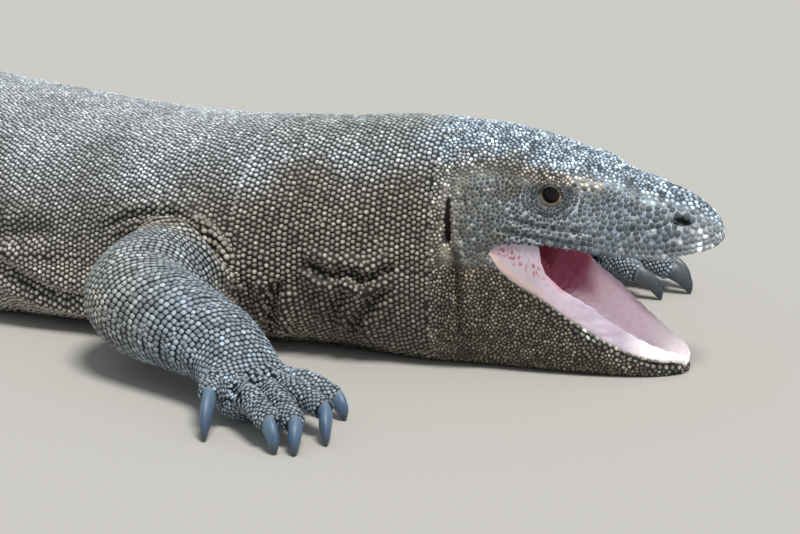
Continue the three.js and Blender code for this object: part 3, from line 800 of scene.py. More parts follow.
@dataclass(frozen=True)
class Markings:
    """The hide's colours by place, the same for the skin and for the scales on it; the colours between the
    scales carry painted shade.

    Each region is a product of smooth steps along the body, across it or up it, and the patches
    are sums of soft waves.
    """

    back: str = "ccd4da"
    flank: str = "999793"
    low: str = "d2ccc2"
    neck: str = "a59c90"
    nape: str = "adb3b2"
    throat: str = "857e73"
    arm: str = "8e9fae"
    hand: str = "93a1ad"
    crown: str = "cfe4f6"
    temple: str = "38414a"
    snout: str = "4f5b66"
    lips: str = "c8ccd0"
    brow: str = "d4c9b4"
    pit: str = "2b2826"
    chin: str = "aeb1a8"
    jaw: str = "746b5d"
    pale: str = "b9beb6"

    def __call__(self, points: Array) -> Array:
        """Colours of the scales' tops: the body's, the head's over them, and the eye's surroundings.

        Args:
            points: Points in millimetres.

        Returns:
            Colours, lighter and darker in soft patches.
        """
        colour = self._eye(points, self._head(points, self._body(points)))
        at, left, height = HEAD.read(points)
        pale = bell(np.hypot(points[:, 0] - 400, (height - 60) * 1.2), 60) * ramp(np.abs(left), 60, 80)
        colour = blend(colour, "c2b894", pale * ramp(at, -150, -200) * 0.35)
        return colour * (1 + 0.1 * SOFT_PATCHES(points) + 0.08 * FINE_PATCHES(points))[:, None]

    def _body(self, points: Array) -> Array:
        """Back, flank and belly by height, then neck, throat, limbs and hands.

        Args:
            points: Points in millimetres.

        Returns:
            Colours.
        """
        at, _, height = HEAD.read(points)
        x, y = points[:, 0], points[:, 1]
        behind = np.maximum(-at, 10)
        level = height / BODY("top", behind)
        soft = SOFT_PATCHES(points)
        colour = plain(self.flank, len(points))
        colour = blend(colour, self.back, ramp(level + 0.08 * soft, 0.62, 0.95))
        colour = blend(colour, self.low, ramp(level, 0.62, 0.3) * 0.8)
        neck = ramp(x, 380, 470)
        colour = blend(colour, self.neck, neck * ramp(level + 0.08 * soft, 0.93, 0.7))
        colour = blend(colour, self.nape, neck * ramp(level, 0.86, 0.97) * 0.8)
        colour = blend(colour, self.throat, ramp(x, 470, 540) * ramp(height + 8 * soft, 88, 45))
        limb = ramp(np.abs(y) - BODY("half", behind), -2, 20)
        colour = blend(colour, self.arm, limb * 0.85)
        return blend(colour, self.hand, limb * ramp(height, 52, 30) * 0.8)

    def _head(self, points: Array, colour: Array) -> Array:
        """Jaw, cheeks, snout and crown, then the pale lips, and specks on all of them.

        Args:
            points: Points in millimetres.
            colour: Their colours so far.

        Returns:
            Colours.
        """
        at, left, height = HEAD.read(points)
        side = np.abs(left)
        fine = FINE_PATCHES(points)
        head = ramp(at, -10, 8) * ramp(side, 96, 88)
        colour = blend(colour, self.jaw, head * ramp(height, 104, 84))
        colour = blend(colour, self.temple, self.face(points) * ramp(at, 2, 16))
        colour = blend(colour, self.snout, ramp(at, 84, 116) * ramp(height, 80, 95) * (side < 90))
        roof = ramp(self.rise(at, height) + 0.05 * fine, 0.76, 0.9)
        colour = blend(colour, self.crown, ramp(at + 20 * fine, -50, 20) * roof)
        front = ramp(at + 6 * fine, 170, 184) * ramp(height, 124, 112)
        colour = blend(colour, self.lips, front * 0.85)
        lip = bell(height - SKULL("lip", at) - 3, 5) * ramp(at, 120, 160)
        colour = blend(colour, self.lips, lip * (0.3 + 0.3 * fine))
        rim = bell(height - JAW("rim", at) + 5, 5 + 4 * ramp(at, 100, 150)) * ramp(at, 60, 110)
        colour = blend(colour, self.chin, rim * (0.55 + 0.3 * fine))
        speck = ramp(Mottle(5.5, 5, 30)(points), 0.25, 0.9) * head * ramp(height, 80, 100)
        colour = blend(colour, self.pale, speck * 0.5)
        dark = ramp(Mottle(8, 8, 30)(points), 0.2, 0.8) * head * roof
        return blend(colour, "34424f", dark * 0.7)

    def _eye(self, points: Array, colour: Array) -> Array:
        """The dark ring and spots round the eye, and the brow's cream band, broken by dark gaps.

        Args:
            points: Points in millimetres.
            colour: Their colours so far.

        Returns:
            Colours.
        """
        at, left, height = HEAD.read(points)
        away = np.hypot(at - Skull.eye_at, (height - Skull.eye_height) * 1.15)
        eyed = ramp(np.abs(left), 22, 30)
        dark = 0.75 * bell(away - 13, 5) + bell(np.hypot(at - 112, height - 142), 8)
        dark += bell(np.hypot(at - 50, height - 151), 8) + bell(np.hypot(at - 50, height - 138) / 1.4, 7)
        colour = blend(colour, self.pit, eyed * np.clip(dark, 0, 1) * 0.85)
        band = bell(height - 152.5 + 0.2 * np.maximum(at - 82, 0), 4.2)
        band = band * ramp(at, 46, 58) * ramp(at, 118, 106)
        patch = ramp(Mottle(5.5, 6, 30)(points), -1.0, -0.3)
        colour = blend(colour, self.brow, 1.25 * band * eyed * patch)
        return blend(colour, self.pit, band * eyed * (1 - patch) * 0.8)

    @staticmethod
    def nostril(at: Array, height: Array) -> Array:
        """How far out from a nostril's middle points are: 1 on its edge."""
        return np.hypot((at - 172.5) / 7.0, (height - 123 + 0.15 * (at - 172.5)) / 4.0)

    @staticmethod
    def rise(at: Array, height: Array) -> Array:
        """How far up the skull points are: 0 at the lip and 1 at its top."""
        lip = SKULL("lip", at)
        return (height - lip) / (SKULL("top", at) - lip)

    def face(self, points: Array) -> Array:
        """How far points belong to cheek and snout, where the skin between the scales is pale.

        Args:
            points: Points in millimetres.

        Returns:
            Shares from 0 to 1.
        """
        at, left, height = HEAD.read(points)
        top = 0.66 + 0.2 * ramp(at, 60, 110)
        front = ramp(at + 7 * Mottle(14, 9)(points), -12, 12)
        under_roof = ramp(self.rise(at, height) - top, 0.1, -0.08)
        return front * under_roof * ramp(height, 80, 92) * (np.abs(left) < 92)

    def gap(self, points: Array) -> Array:
        """Colours of the skin between the scales: dark as painted shade in the crevices over the skin's own
        darker colour, but pale on the face, and near black as painted shade in the nostrils and ear slits.

        Args:
            points: Points in millimetres.

        Returns:
            Colours.
        """
        at, left, height = HEAD.read(points)
        side, count = np.abs(left), len(points)
        # Painted shade: the skin between the scales is darkened nearly to black, as the shade in the
        # crevices.
        colour = 0.02 * self(points) + 0.2 * plain("2a2622", count)
        fine = Mottle(12, 7)(points)
        rims = blend(plain("a09e90", count), "b0bac1", ramp(at + 20 * fine, 20, 60))
        roof = ramp(self.rise(at, height), 0.76, 0.9) * ramp(at, -40, 10)
        colour = blend(colour, "33475a", 0.45 * roof)
        away = Skull.from_eye(at, height)
        colour = blend(colour, rims, self.face(points) * (1 - 0.75 * bell(away - 10, 6)))
        # Painted shade: the nostrils and the ear slits are painted near black, as the shade inside them.
        shaded_pits = ramp(self.nostril(at, height), 1.15, 0.9) * ramp(side, 12, 15)
        slit = ramp(np.abs(at - Skull.ear_at), 4.0, 2.6) * ramp(np.abs(height - Skull.ear_height), 19, 16)
        shaded_pits += slit * ramp(side, 40, 46)
        return blend(colour, "0e0b09", shaded_pits)


MARKINGS = Markings()


# ---- Finishes ----


class Num:
    """A number on a shader's socket, for sums written in Python."""

    def __init__(self, shader: "Shader", socket: bpy.types.NodeSocket) -> None:
        """Wrap a socket of a shader's tree."""
        self.shader = shader
        self.socket = socket

    def _with(self, operation: str, first: object, second: object) -> "Num":
        """Add a Math node on two numbers."""
        return self.shader.node("ShaderNodeMath", {"operation": operation}, {0: first, 1: second})

    def __add__(self, other: object) -> "Num":
        """Sum."""
        return self._with("ADD", self, other)

    def __sub__(self, other: object) -> "Num":
        """Difference."""
        return self._with("SUBTRACT", self, other)

    def __rsub__(self, other: object) -> "Num":
        """Difference from a number."""
        return self._with("SUBTRACT", other, self)

    def __mul__(self, other: object) -> "Num":
        """Product."""
        return self._with("MULTIPLY", self, other)

    __radd__ = __add__
    __rmul__ = __mul__


class Shader:
    """A material's tree with one surface shader in it."""

    def __init__(self, name: str, **constants: object) -> None:
        """Make the material.

        Args:
            name: The material's name.
            constants: Values set on the surface shader's own sockets, spaces as underscores.
        """
        self.material = bpy.data.materials.new(name)
        self.material.use_nodes = True
        self.tree = self.material.node_tree
        self.surface = self.tree.nodes["Principled BSDF"]
        for key, value in constants.items():
            self.surface.inputs[key.replace("_", " ")].default_value = value

    def node(self, kind: str, settings: dict, sockets: dict, output: object = 0) -> Num:
        """Add a node.

        Args:
            kind: The node's type.
            settings: Its properties; "stops" holds a ramp's places and colours.
            sockets: Values or links by socket name or number.
            output: The socket that the answer stands for.

        Returns:
            One of the node's outputs.
        """
        made = self.tree.nodes.new(kind)
        for key, value in settings.items():
            if key == "stops":
                while len(made.color_ramp.elements) < len(value):
                    made.color_ramp.elements.new(0.5)
                for element, (place, code) in zip(made.color_ramp.elements, value):
                    element.position = place
                    element.color = rgba(code)
            else:
                setattr(made, key, value)
        for key, value in sockets.items():
            self.feed(made.inputs[key], value)
        return Num(self, made.outputs[output])

    def feed(self, socket: bpy.types.NodeSocket, value: object) -> None:
        """Link a socket or set its value."""
        if isinstance(value, Num):
            self.tree.links.new(value.socket, socket)
        else:
            socket.default_value = value

    def drive(self, name: str, value: object) -> None:
        """Feed a socket of the surface shader."""
        self.feed(self.surface.inputs[name], value)

    def place(self) -> Num:
        """Object coordinates."""
        return self.node("ShaderNodeTexCoord", {}, {}, "Object")

    def noise(self, scale: float, detail: float = 2.0, place: Num | None = None) -> Num:
        """Noise from 0 to 1 at a place, which is the object coordinates if none is given."""
        sockets = {"Vector": self.place() if place is None else place, "Scale": scale, "Detail": detail}
        return self.node("ShaderNodeTexNoise", {}, sockets, "Fac")

    def tones(self, stops: Sequence[tuple[float, str]], share: Num) -> Num:
        """A ramp between colours, from their places and codes."""
        return self.node("ShaderNodeValToRGB", {"stops": stops}, {"Fac": share})

    def attribute(self, name: str, output: str = "Fac") -> Num:
        """A value or a colour stored on the mesh."""
        return self.node("ShaderNodeAttribute", {"attribute_name": name}, {}, output)

    def mix(self, share: object, first: object, second: object, kind: str = "MIX") -> Num:
        """A mix of two colours or links, by a share of the second and a way of mixing."""
        settings = {"data_type": "RGBA", "blend_type": kind}
        return self.node("ShaderNodeMix", settings, {0: share, 6: first, 7: second}, 2)

    def bump(self, height: Num, strength: float, distance: float) -> None:
        """Feed the surface's normal with a bump."""
        sockets = {"Height": height, "Strength": strength, "Distance": distance}
        self.drive("Normal", self.node("ShaderNodeBump", {}, sockets))


def rgba(code: str) -> tuple:
    """A hexadecimal colour as a socket's value."""
    return (*tone(code).tolist(), 1.0)


class Finish:
    """A finish that dresses pieces with one material."""

    def material(self) -> Material:
        """Build the material."""
        raise NotImplementedError

    def dress(self, *pieces: Piece) -> None:
        """Give the material to pieces."""
        material = self.material()
        for piece in pieces:
            piece.data.materials.clear()
            piece.data.materials.append(material)


@dataclass(frozen=True)
class Hide(Finish):
    """Scaly hide: the stored markings, with a fine grain of dust and horn on them."""

    name: str = "hide"
    roughness: float = 0.62
    grain: float = 0.22

    def material(self) -> Material:
        """Stored colour times a fine grain, a roughness that follows it, and a bump."""
        shader = Shader(self.name, Specular_IOR_Level=0.35)
        grain = shader.noise(900, 3)
        dust = shader.noise(60, 4)
        light = (1 - self.grain) + grain * self.grain * 2
        stored = shader.attribute("Marking", "Color")
        even = shader.node("ShaderNodeCombineColor", {}, {0: light, 1: light, 2: light})
        toned = shader.mix(1.0, stored, even, "MULTIPLY")
        shader.drive("Base Color", shader.mix(dust * 0.07, toned, rgba("a89f90")))
        shader.drive("Roughness", (self.roughness - 0.14) + grain * 0.28)
        shader.bump(grain, 0.5, 0.0004)
        return shader.material


@dataclass(frozen=True)
class Membrane(Finish):
    """Wet lining of the mouth: stored colour, fine veins, a thin clear film, and a faint glow in its own
    colour as painted light.
    """

    name: str = "mouth_lining"

    def material(self) -> Material:
        """Stored colour with redder veins, glossy, and a faint glow of the same colour as painted light."""
        shader = Shader(
            self.name, Coat_Weight=0.35, Coat_Roughness=0.12, Subsurface_Weight=0.12,
            Subsurface_Radius=(0.006, 0.002, 0.0015), Specular_IOR_Level=0.5, Emission_Strength=0.12)
        veins = shader.noise(220, 4)
        fine = shader.noise(1100, 2)
        stored = shader.attribute("Marking", "Color")
        redder = shader.mix(1.0, stored, rgba("f2c0cb"), "MULTIPLY")
        colour = shader.mix((veins - 0.5) * 1.6, stored, redder)
        shader.drive("Base Color", colour)
        # Painted light: the lining glows faintly in its own colour, to light the shaded mouth.
        shader.drive("Emission Color", colour)
        shader.drive("Roughness", 0.28 + fine * 0.2)
        shader.bump(veins + fine * 0.4, 0.35, 0.0006)
        return shader.material


@dataclass(frozen=True)
class Horn(Finish):
    """Slate-blue horn of the claws: streaks along each claw, and darker towards its tip."""

    name: str = "claw_horn"
    root: str = "5f7a92"
    body: str = "486380"

    def material(self) -> Material:
        """A ramp along the claw, with streaks from a stored angle and a worn edge."""
        shader = Shader(self.name, Specular_IOR_Level=0.5, Coat_Weight=0.2, Coat_Roughness=0.3)
        along = shader.attribute("Along")
        around = shader.attribute("Around")
        spread = shader.node("ShaderNodeCombineXYZ", {}, {0: around * 9, 1: along * 1.5, 2: 0.0})
        streaks = shader.noise(3.0, 4.0, spread)
        stops = ((0.0, "7c8487"), (0.1, self.root), (0.55, self.body), (1.0, "20262e"))
        colour = shader.tones(stops, along)
        shader.drive("Base Color", shader.mix((streaks - 0.4) * 0.9, colour, rgba("8595a4")))
        shader.drive("Roughness", 0.3 + streaks * 0.28)
        shader.bump(streaks, 0.4, 0.0008)
        return shader.material


@dataclass(frozen=True)
class EyeGloss(Finish):
    """The eye: a black pupil, a thin brown iris round it, and a dark rim, under a clear film."""

    name: str = "eye_gloss"

    def material(self) -> Material:
        """Colour by the distance from the eye's axis, in millimetres, with fine rays."""
        shader = Shader(self.name, Coat_Weight=0.6, Coat_Roughness=0.04, Coat_IOR=1.35, Roughness=0.3,
                        Specular_IOR_Level=0.15)
        ring = shader.attribute("Ring") * 0.1
        rays = shader.noise(1400, 2)
        stops = ((0.0, "030303"), (0.44, "080605"), (0.5, "17100c"), (0.535, "35281f"),
                 (0.575, "201610"), (0.64, "0a0807"))
        shader.drive("Base Color", shader.tones(stops, ring + (rays - 0.5) * 0.05))
        return shader.material


@dataclass(frozen=True)
class EarSkin(Finish):
    """The drum in the ear slit: dark and dull, a little browner where it bulges."""

    name: str = "ear_drum"

    def material(self) -> Material:
        """Near black with brown patches."""
        shader = Shader(self.name, Specular_IOR_Level=0.2)
        patches = shader.noise(160, 3)
        shader.drive("Base Color", shader.mix(patches, rgba("120e0c"), rgba("2c221c")))
        shader.drive("Roughness", 0.7 + patches * 0.2)
        shader.bump(patches, 0.3, 0.0005)
        return shader.material


@dataclass(frozen=True)
class StudioFloor(Finish):
    """Plain pale floor."""

    name: str = "studio_floor"

    def material(self) -> Material:
        """One pale matt colour."""
        return Shader(self.name, Base_Color=rgba("bbb8b2"), Roughness=0.9).material


# ---- The skin ----


@dataclass(frozen=True)
class Fold:
    """A crease in the skin along a line: a groove with a soft swelling on both sides."""

    line: tuple
    depth: float
    width: float
    swell: float = 0.6

    def __call__(self, points: Array) -> Array:
        """How far the skin moves out at points: minus a bell of the distance, plus a wider ring.

        Args:
            points: Points in millimetres.

        Returns:
            Distances, negative in the groove.
        """
        corners = Course(self.line).point(np.linspace(0, 1, 6 * len(self.line)))
        out = np.zeros(len(points))
        reach = 5 * self.width
        near = ((points > corners.min(axis=0) - reach) & (points < corners.max(axis=0) + reach)).all(axis=1)
        if not near.any():
            return out
        start, step = corners[:-1], np.diff(corners, axis=0)
        away = points[near][:, None] - start[None]
        share = np.clip((away * step).sum(axis=2) / (step**2).sum(axis=1), 0, 1)
        distance = np.linalg.norm(away - share[..., None] * step, axis=2)
        least = distance.min(axis=1)
        along = (distance.argmin(axis=1) + 0.5) / len(step)
        fade = ramp(along, 0, 0.15) * ramp(along, 1, 0.85)
        groove = -bell(least, self.width) + self.swell * bell(least - 2.1 * self.width, 1.2 * self.width)
        out[near] = self.depth * groove * fade
        return out


def head_line(*points: tuple) -> tuple:
    """A line of points given in the head's frame, as points of the body's frame."""
    return tuple(tuple(HEAD.place(*p)) for p in points)


def both(line: Sequence[tuple], depth: float, width: float, swell: float = 0.6, head: bool = True) -> tuple:
    """The same fold on the right side and on the left one, given by the left one."""
    lines = (tuple((x, side * y, z) for x, y, z in line) for side in (1, -1))
    return tuple(Fold(head_line(*line) if head else line, depth, width, swell) for line in lines)


FOLDS = (
    # Both sides of the head: the ear's slit, the crease over it, and the one behind the jaw.
    *both(((2, 64, 134), (2.5, 66, 123), (3, 66, 111), (4, 66, 98)), 10.0, 3.3, 0.12),
    *both(((-4, 40, 162), (0, 54, 150), (2, 63, 134)), 3.4, 3.6, 0.7),
    *both(((4, 66, 104), (8, 65, 93), (11, 65, 73), (12, 64, 58), (11, 62, 42), (14, 58, 25)), 4.2, 3.4, 0.8),
    # Neck and throat, on the right and then on the left.
    Fold(((497, -78, 80), (513, -74, 76), (524, -70, 72), (539, -65, 74), (549, -61, 70), (562, -57, 76),
          (577, -50, 84)), 6.2, 4.2, 1.0),
    Fold(((572, -54, 72), (556, -57, 54), (542, -58, 37), (527, -51, 19)), 4.4, 4.2, 0.9),
    Fold(((523, -70, 68), (531, -67, 59), (526, -67, 47), (516, -61, 26)), 3.4, 4.4, 0.8),
    Fold(((489, -81, 66), (480, -83, 50), (474, -76, 32), (458, -60, 10)), 6.0, 4.6, 0.9),
    Fold(((497, 90, 82), (520, 88, 74), (545, 80, 72), (570, 74, 80)), 6.2, 5.0, 0.9),
    Fold(((560, 78, 60), (545, 76, 40), (530, 68, 20)), 5.6, 5.0, 0.8),
    # Both sides of the trunk: round the arm, along the flank and at the hip.
    *both(((340, 124, 86), (358, 117, 99), (384, 109, 107), (408, 105, 107), (432, 107, 98), (450, 104, 79),
           (463, 95, 59), (471, 86, 40)), 7.0, 3.4, 0.5, False),
    *both(((352, 128, 100), (372, 118, 114), (398, 104, 121), (424, 103, 115), (450, 102, 98), (470, 94, 76),
           (484, 84, 54)), 3.6, 3.6, 0.8, False),
    *both(((246, 137, 58), (288, 131, 37), (322, 124, 30), (352, 128, 36)), 6.5, 6.0, 0.6, False),
    *both(((215, 148, 74), (262, 137, 78), (305, 127, 84)), 4.6, 7.0, 0.7, False),
    *both(((-330, 97, 96), (-368, 86, 104), (-402, 80, 106), (-436, 79, 96), (-456, 76, 70)),
          6.0, 6.0, 0.5, False),
    # Both sides of the face: behind the nostril, along the cheek, under the eye and over it.
    *both(((122, 42, 115), (134, 39, 117), (145, 36, 117.5), (156, 32, 118.5), (162, 29, 122),
           (160, 28, 128)), 2.0, 1.8, 0.3),
    *both(((40, 56, 126), (57, 53, 119), (75, 50, 116), (94, 47, 114), (110, 44, 114)), 1.5, 2.0, 0.6),
    *both(((36, 58, 115), (57, 53, 109.5), (76, 50, 107), (98, 46, 104), (116, 43, 102.5)), 1.5, 2.0, 0.6),
    *both(((52, 52, 136), (61, 49, 129), (72, 49, 124.5), (86, 48, 124), (98, 45, 127)), 1.2, 1.7, 0.6),
    *both(((44, 44, 158), (62, 44, 160), (82, 40, 159), (100, 34, 154), (112, 31, 148)), 1.3, 2.2, 1.0),
)


@dataclass
class Skin:
    """One skin over all the flesh, moved in by the coat's depth and folded."""

    animal: Animal
    voxel: float = 2.5
    faces: int = 186000

    def relief(self, points: Array) -> Array:
        """How far the skin moves out along its normals: folds, brow, orbit, nostrils, muscles.

        Args:
            points: The skin's points in millimetres.

        Returns:
            Distances in millimetres.
        """
        at, left, height = HEAD.read(points)
        side = np.abs(left)
        out = np.full(len(points), -COAT_DEPTH)
        for fold in (*FOLDS, *(line for foot in self.animal.feet for line in foot.webs())):
            out += fold(points)
        skull = self.animal.skull
        away = skull.from_eye(at, height)
        face = ramp(side, 24, 32)
        out -= 7.0 * face * ramp(away, 9.4, 5.8)
        out -= 1.4 * face * bell(away - 12, 4)
        rings = np.cos(2 * np.pi * (away - 12.5) / 4.6) * ramp(away, 10, 13) * ramp(away, 27, 20)
        under = ramp(height - 0.35 * (at - skull.eye_at), 143, 132)
        out += 0.75 * face * rings * under
        out += 2.0 * bell(height - 154 + 0.2 * np.maximum(at - 84, 0), 5) * bell(at - 80, 26) * face
        out -= 2.2 * bell(at - 112, 12) * bell(height - 134, 8) * face
        out += 2.6 * bell(at - 24, 20) * bell(height - 118, 24) * face
        out -= 1.6 * bell(at - 44, 14) * bell(height - 150, 9) * face
        saddle = 1.8 * bell(at - 102, 9) - 1.5 * bell(at - 127, 9)
        out += saddle * ramp(MARKINGS.rise(at, height), 0.75, 0.95)
        pit = MARKINGS.nostril(at, height)
        nose = ramp(side, 12, 18)
        out += nose * (-7.0 * ramp(pit, 1.1, 0.6) + 1.3 * bell(pit - 1.6, 0.35))
        neck = ramp(-at, 5, 40) * ramp(points[:, 0], 420, 470)
        wave = Mottle(15, 21)(points * np.array([1.5, 1, 0.55]))
        out += 0.9 * neck * wave * ramp(height, 150, 100)
        trunk = ramp(points[:, 0], 470, 330) * ramp(points[:, 0], -700, -500)
        out += 0.9 * trunk * Mottle(55, 22)(points) * ramp(height, 150, 120)
        return out

    def build(self) -> Piece:
        """Melt the forms together, move the skin, and thin its faces where it is plain.

        Returns:
            The skin.
        """
        points, faces = joined(self.animal.shapes())
        rough = new_piece("rough", points, faces)
        melt = rough.modifiers.new("melt", "REMESH")
        melt.mode = "VOXEL"
        melt.voxel_size = self.voxel * MM * 1
        soften = rough.modifiers.new("soften", "SMOOTH")
        soften.factor = 0.5
        soften.iterations = 4
        mesh = self._applied(rough)
        places = points_of(mesh)
        moved = places + normals_of(mesh) * self.relief(places)[:, None]
        moved[:, 2] = np.maximum(moved[:, 2], 0.6)
        mesh.vertices.foreach_set("co", (moved * MM).astype(np.float32).ravel())
        skin = linked("skin", mesh)
        bpy.data.objects.remove(rough)
        thin = skin.modifiers.new("thin", "DECIMATE")
        thin.ratio = min(1.0, self.faces / (2 * len(mesh.polygons)))
        skin.data = self._applied(skin)
        skin.modifiers.clear()
        skin.data.shade_smooth()
        skin.data.name = "skin"
        # The skin takes the colours between the scales, dark with painted shade.
        set_colour(skin.data, MARKINGS.gap(points_of(skin.data)))
        return skin

    @staticmethod
    def _applied(piece: Piece) -> Mesh:
        """A new mesh of a piece with its modifiers applied."""
        depsgraph = bpy.context.evaluated_depsgraph_get()
        return bpy.data.meshes.new_from_object(piece.evaluated_get(depsgraph))


class Ground:
    """The nearest place of a surface to points, with its normal."""

    def __init__(self, pieces: Sequence[Piece]) -> None:
        """Index the surfaces of pieces.

        Args:
            pieces: Pieces whose surfaces carry the scales.
        """
        points, triangles, normals = [], [], []
        start = 0
        for piece in pieces:
            mesh = piece.data
            mesh.calc_loop_triangles()
            triangles.append(values_of(mesh.loop_triangles, "vertices", 3, np.int32) + start)
            points.append(points_of(mesh))
            normals.append(normals_of(mesh))
            start += len(mesh.vertices)
        self.points = np.vstack(points)
        self.triangles = np.vstack(triangles)
        self.normals = np.vstack(normals)
        self.tree = BVHTree.FromPolygons(self.points.tolist(), self.triangles.tolist())

    def snap(self, points: Array) -> tuple[Array, Array, Array]:
        """Drop points on the surface.

        Args:
            points: Points near it.

        Returns:
            Places, unit normals, and how far the points were from them.
        """
        found = [self.tree.find_nearest(p) for p in points.tolist()]
        places = np.array([f[0] for f in found])
        faces = np.array([f[2] for f in found])
        distance = np.array([f[3] for f in found])
        return places, unit(self.normals[self.triangles[faces]].mean(axis=1)), distance

    def cast(self, points: Array, outward: Array, above: float = 6.0) -> tuple[Array, Array, Array]:
        """Drop points on the surface along a direction, or to its nearest place where that misses.

        Args:
            points: Points near the surface.
            outward: Unit directions away from it.
            above: How far above its point each ray starts.

        Returns:
            Places, unit normals, and how far the points were from them.
        """
        starts = (points + outward * above).tolist()
        rays = (-outward).tolist()
        hits = [self.tree.ray_cast(a, b, 24.0) for a, b in zip(starts, rays)]
        missed = np.array([hit[0] is None for hit in hits])
        faces = np.array([0 if hit[2] is None else hit[2] for hit in hits])
        pairs = zip(hits, points.tolist())
        places = np.array([point if hit[0] is None else tuple(hit[0]) for hit, point in pairs])
        normal = self.normals[self.triangles[faces]].mean(axis=1)
        missed |= (normal * outward).sum(axis=1) < 0.1
        if missed.any():
            places[missed], normal[missed], _ = self.snap(points[missed])
        distance = np.linalg.norm(places - points, axis=1)
        return places, unit(normal), distance


# ---- Mouth, eyes, ears and claws ----


def shell(name: str, top: Array, bottom: Array) -> Piece:
    """A closed piece between two grids of points: both grids, and a strip round their edges.

    Args:
        name: The piece's name.
        top: Rows of points of the side that is seen.
        bottom: As many rows of points behind them.

    Returns:
        The piece, with its faces outwards.
    """
    rows, columns = top.shape[:2]
    quads = sheet_faces(rows, columns, False)
    count = rows * columns
    index = np.arange(count).reshape(rows, columns)
    edge = np.concatenate([index[0], index[1:, -1], index[-1, -2::-1], index[-2:0:-1, 0]])
    after = np.roll(edge, -1)
    strip = np.stack([edge, edge + count, after + count, after], axis=1)
    piece = new_piece(name, np.vstack([top.reshape(-1, 3), bottom.reshape(-1, 3)]),
                      np.vstack([quads, quads[:, ::-1] + count, strip]))
    outward(piece)
    return piece


def outward(piece: Piece) -> None:
    """Turn a closed piece's faces outwards."""
    work = bmesh.new()
    work.from_mesh(piece.data)
    bmesh.ops.recalc_face_normals(work, faces=work.faces)
    work.to_mesh(piece.data)
    work.free()
    piece.data.shade_smooth()


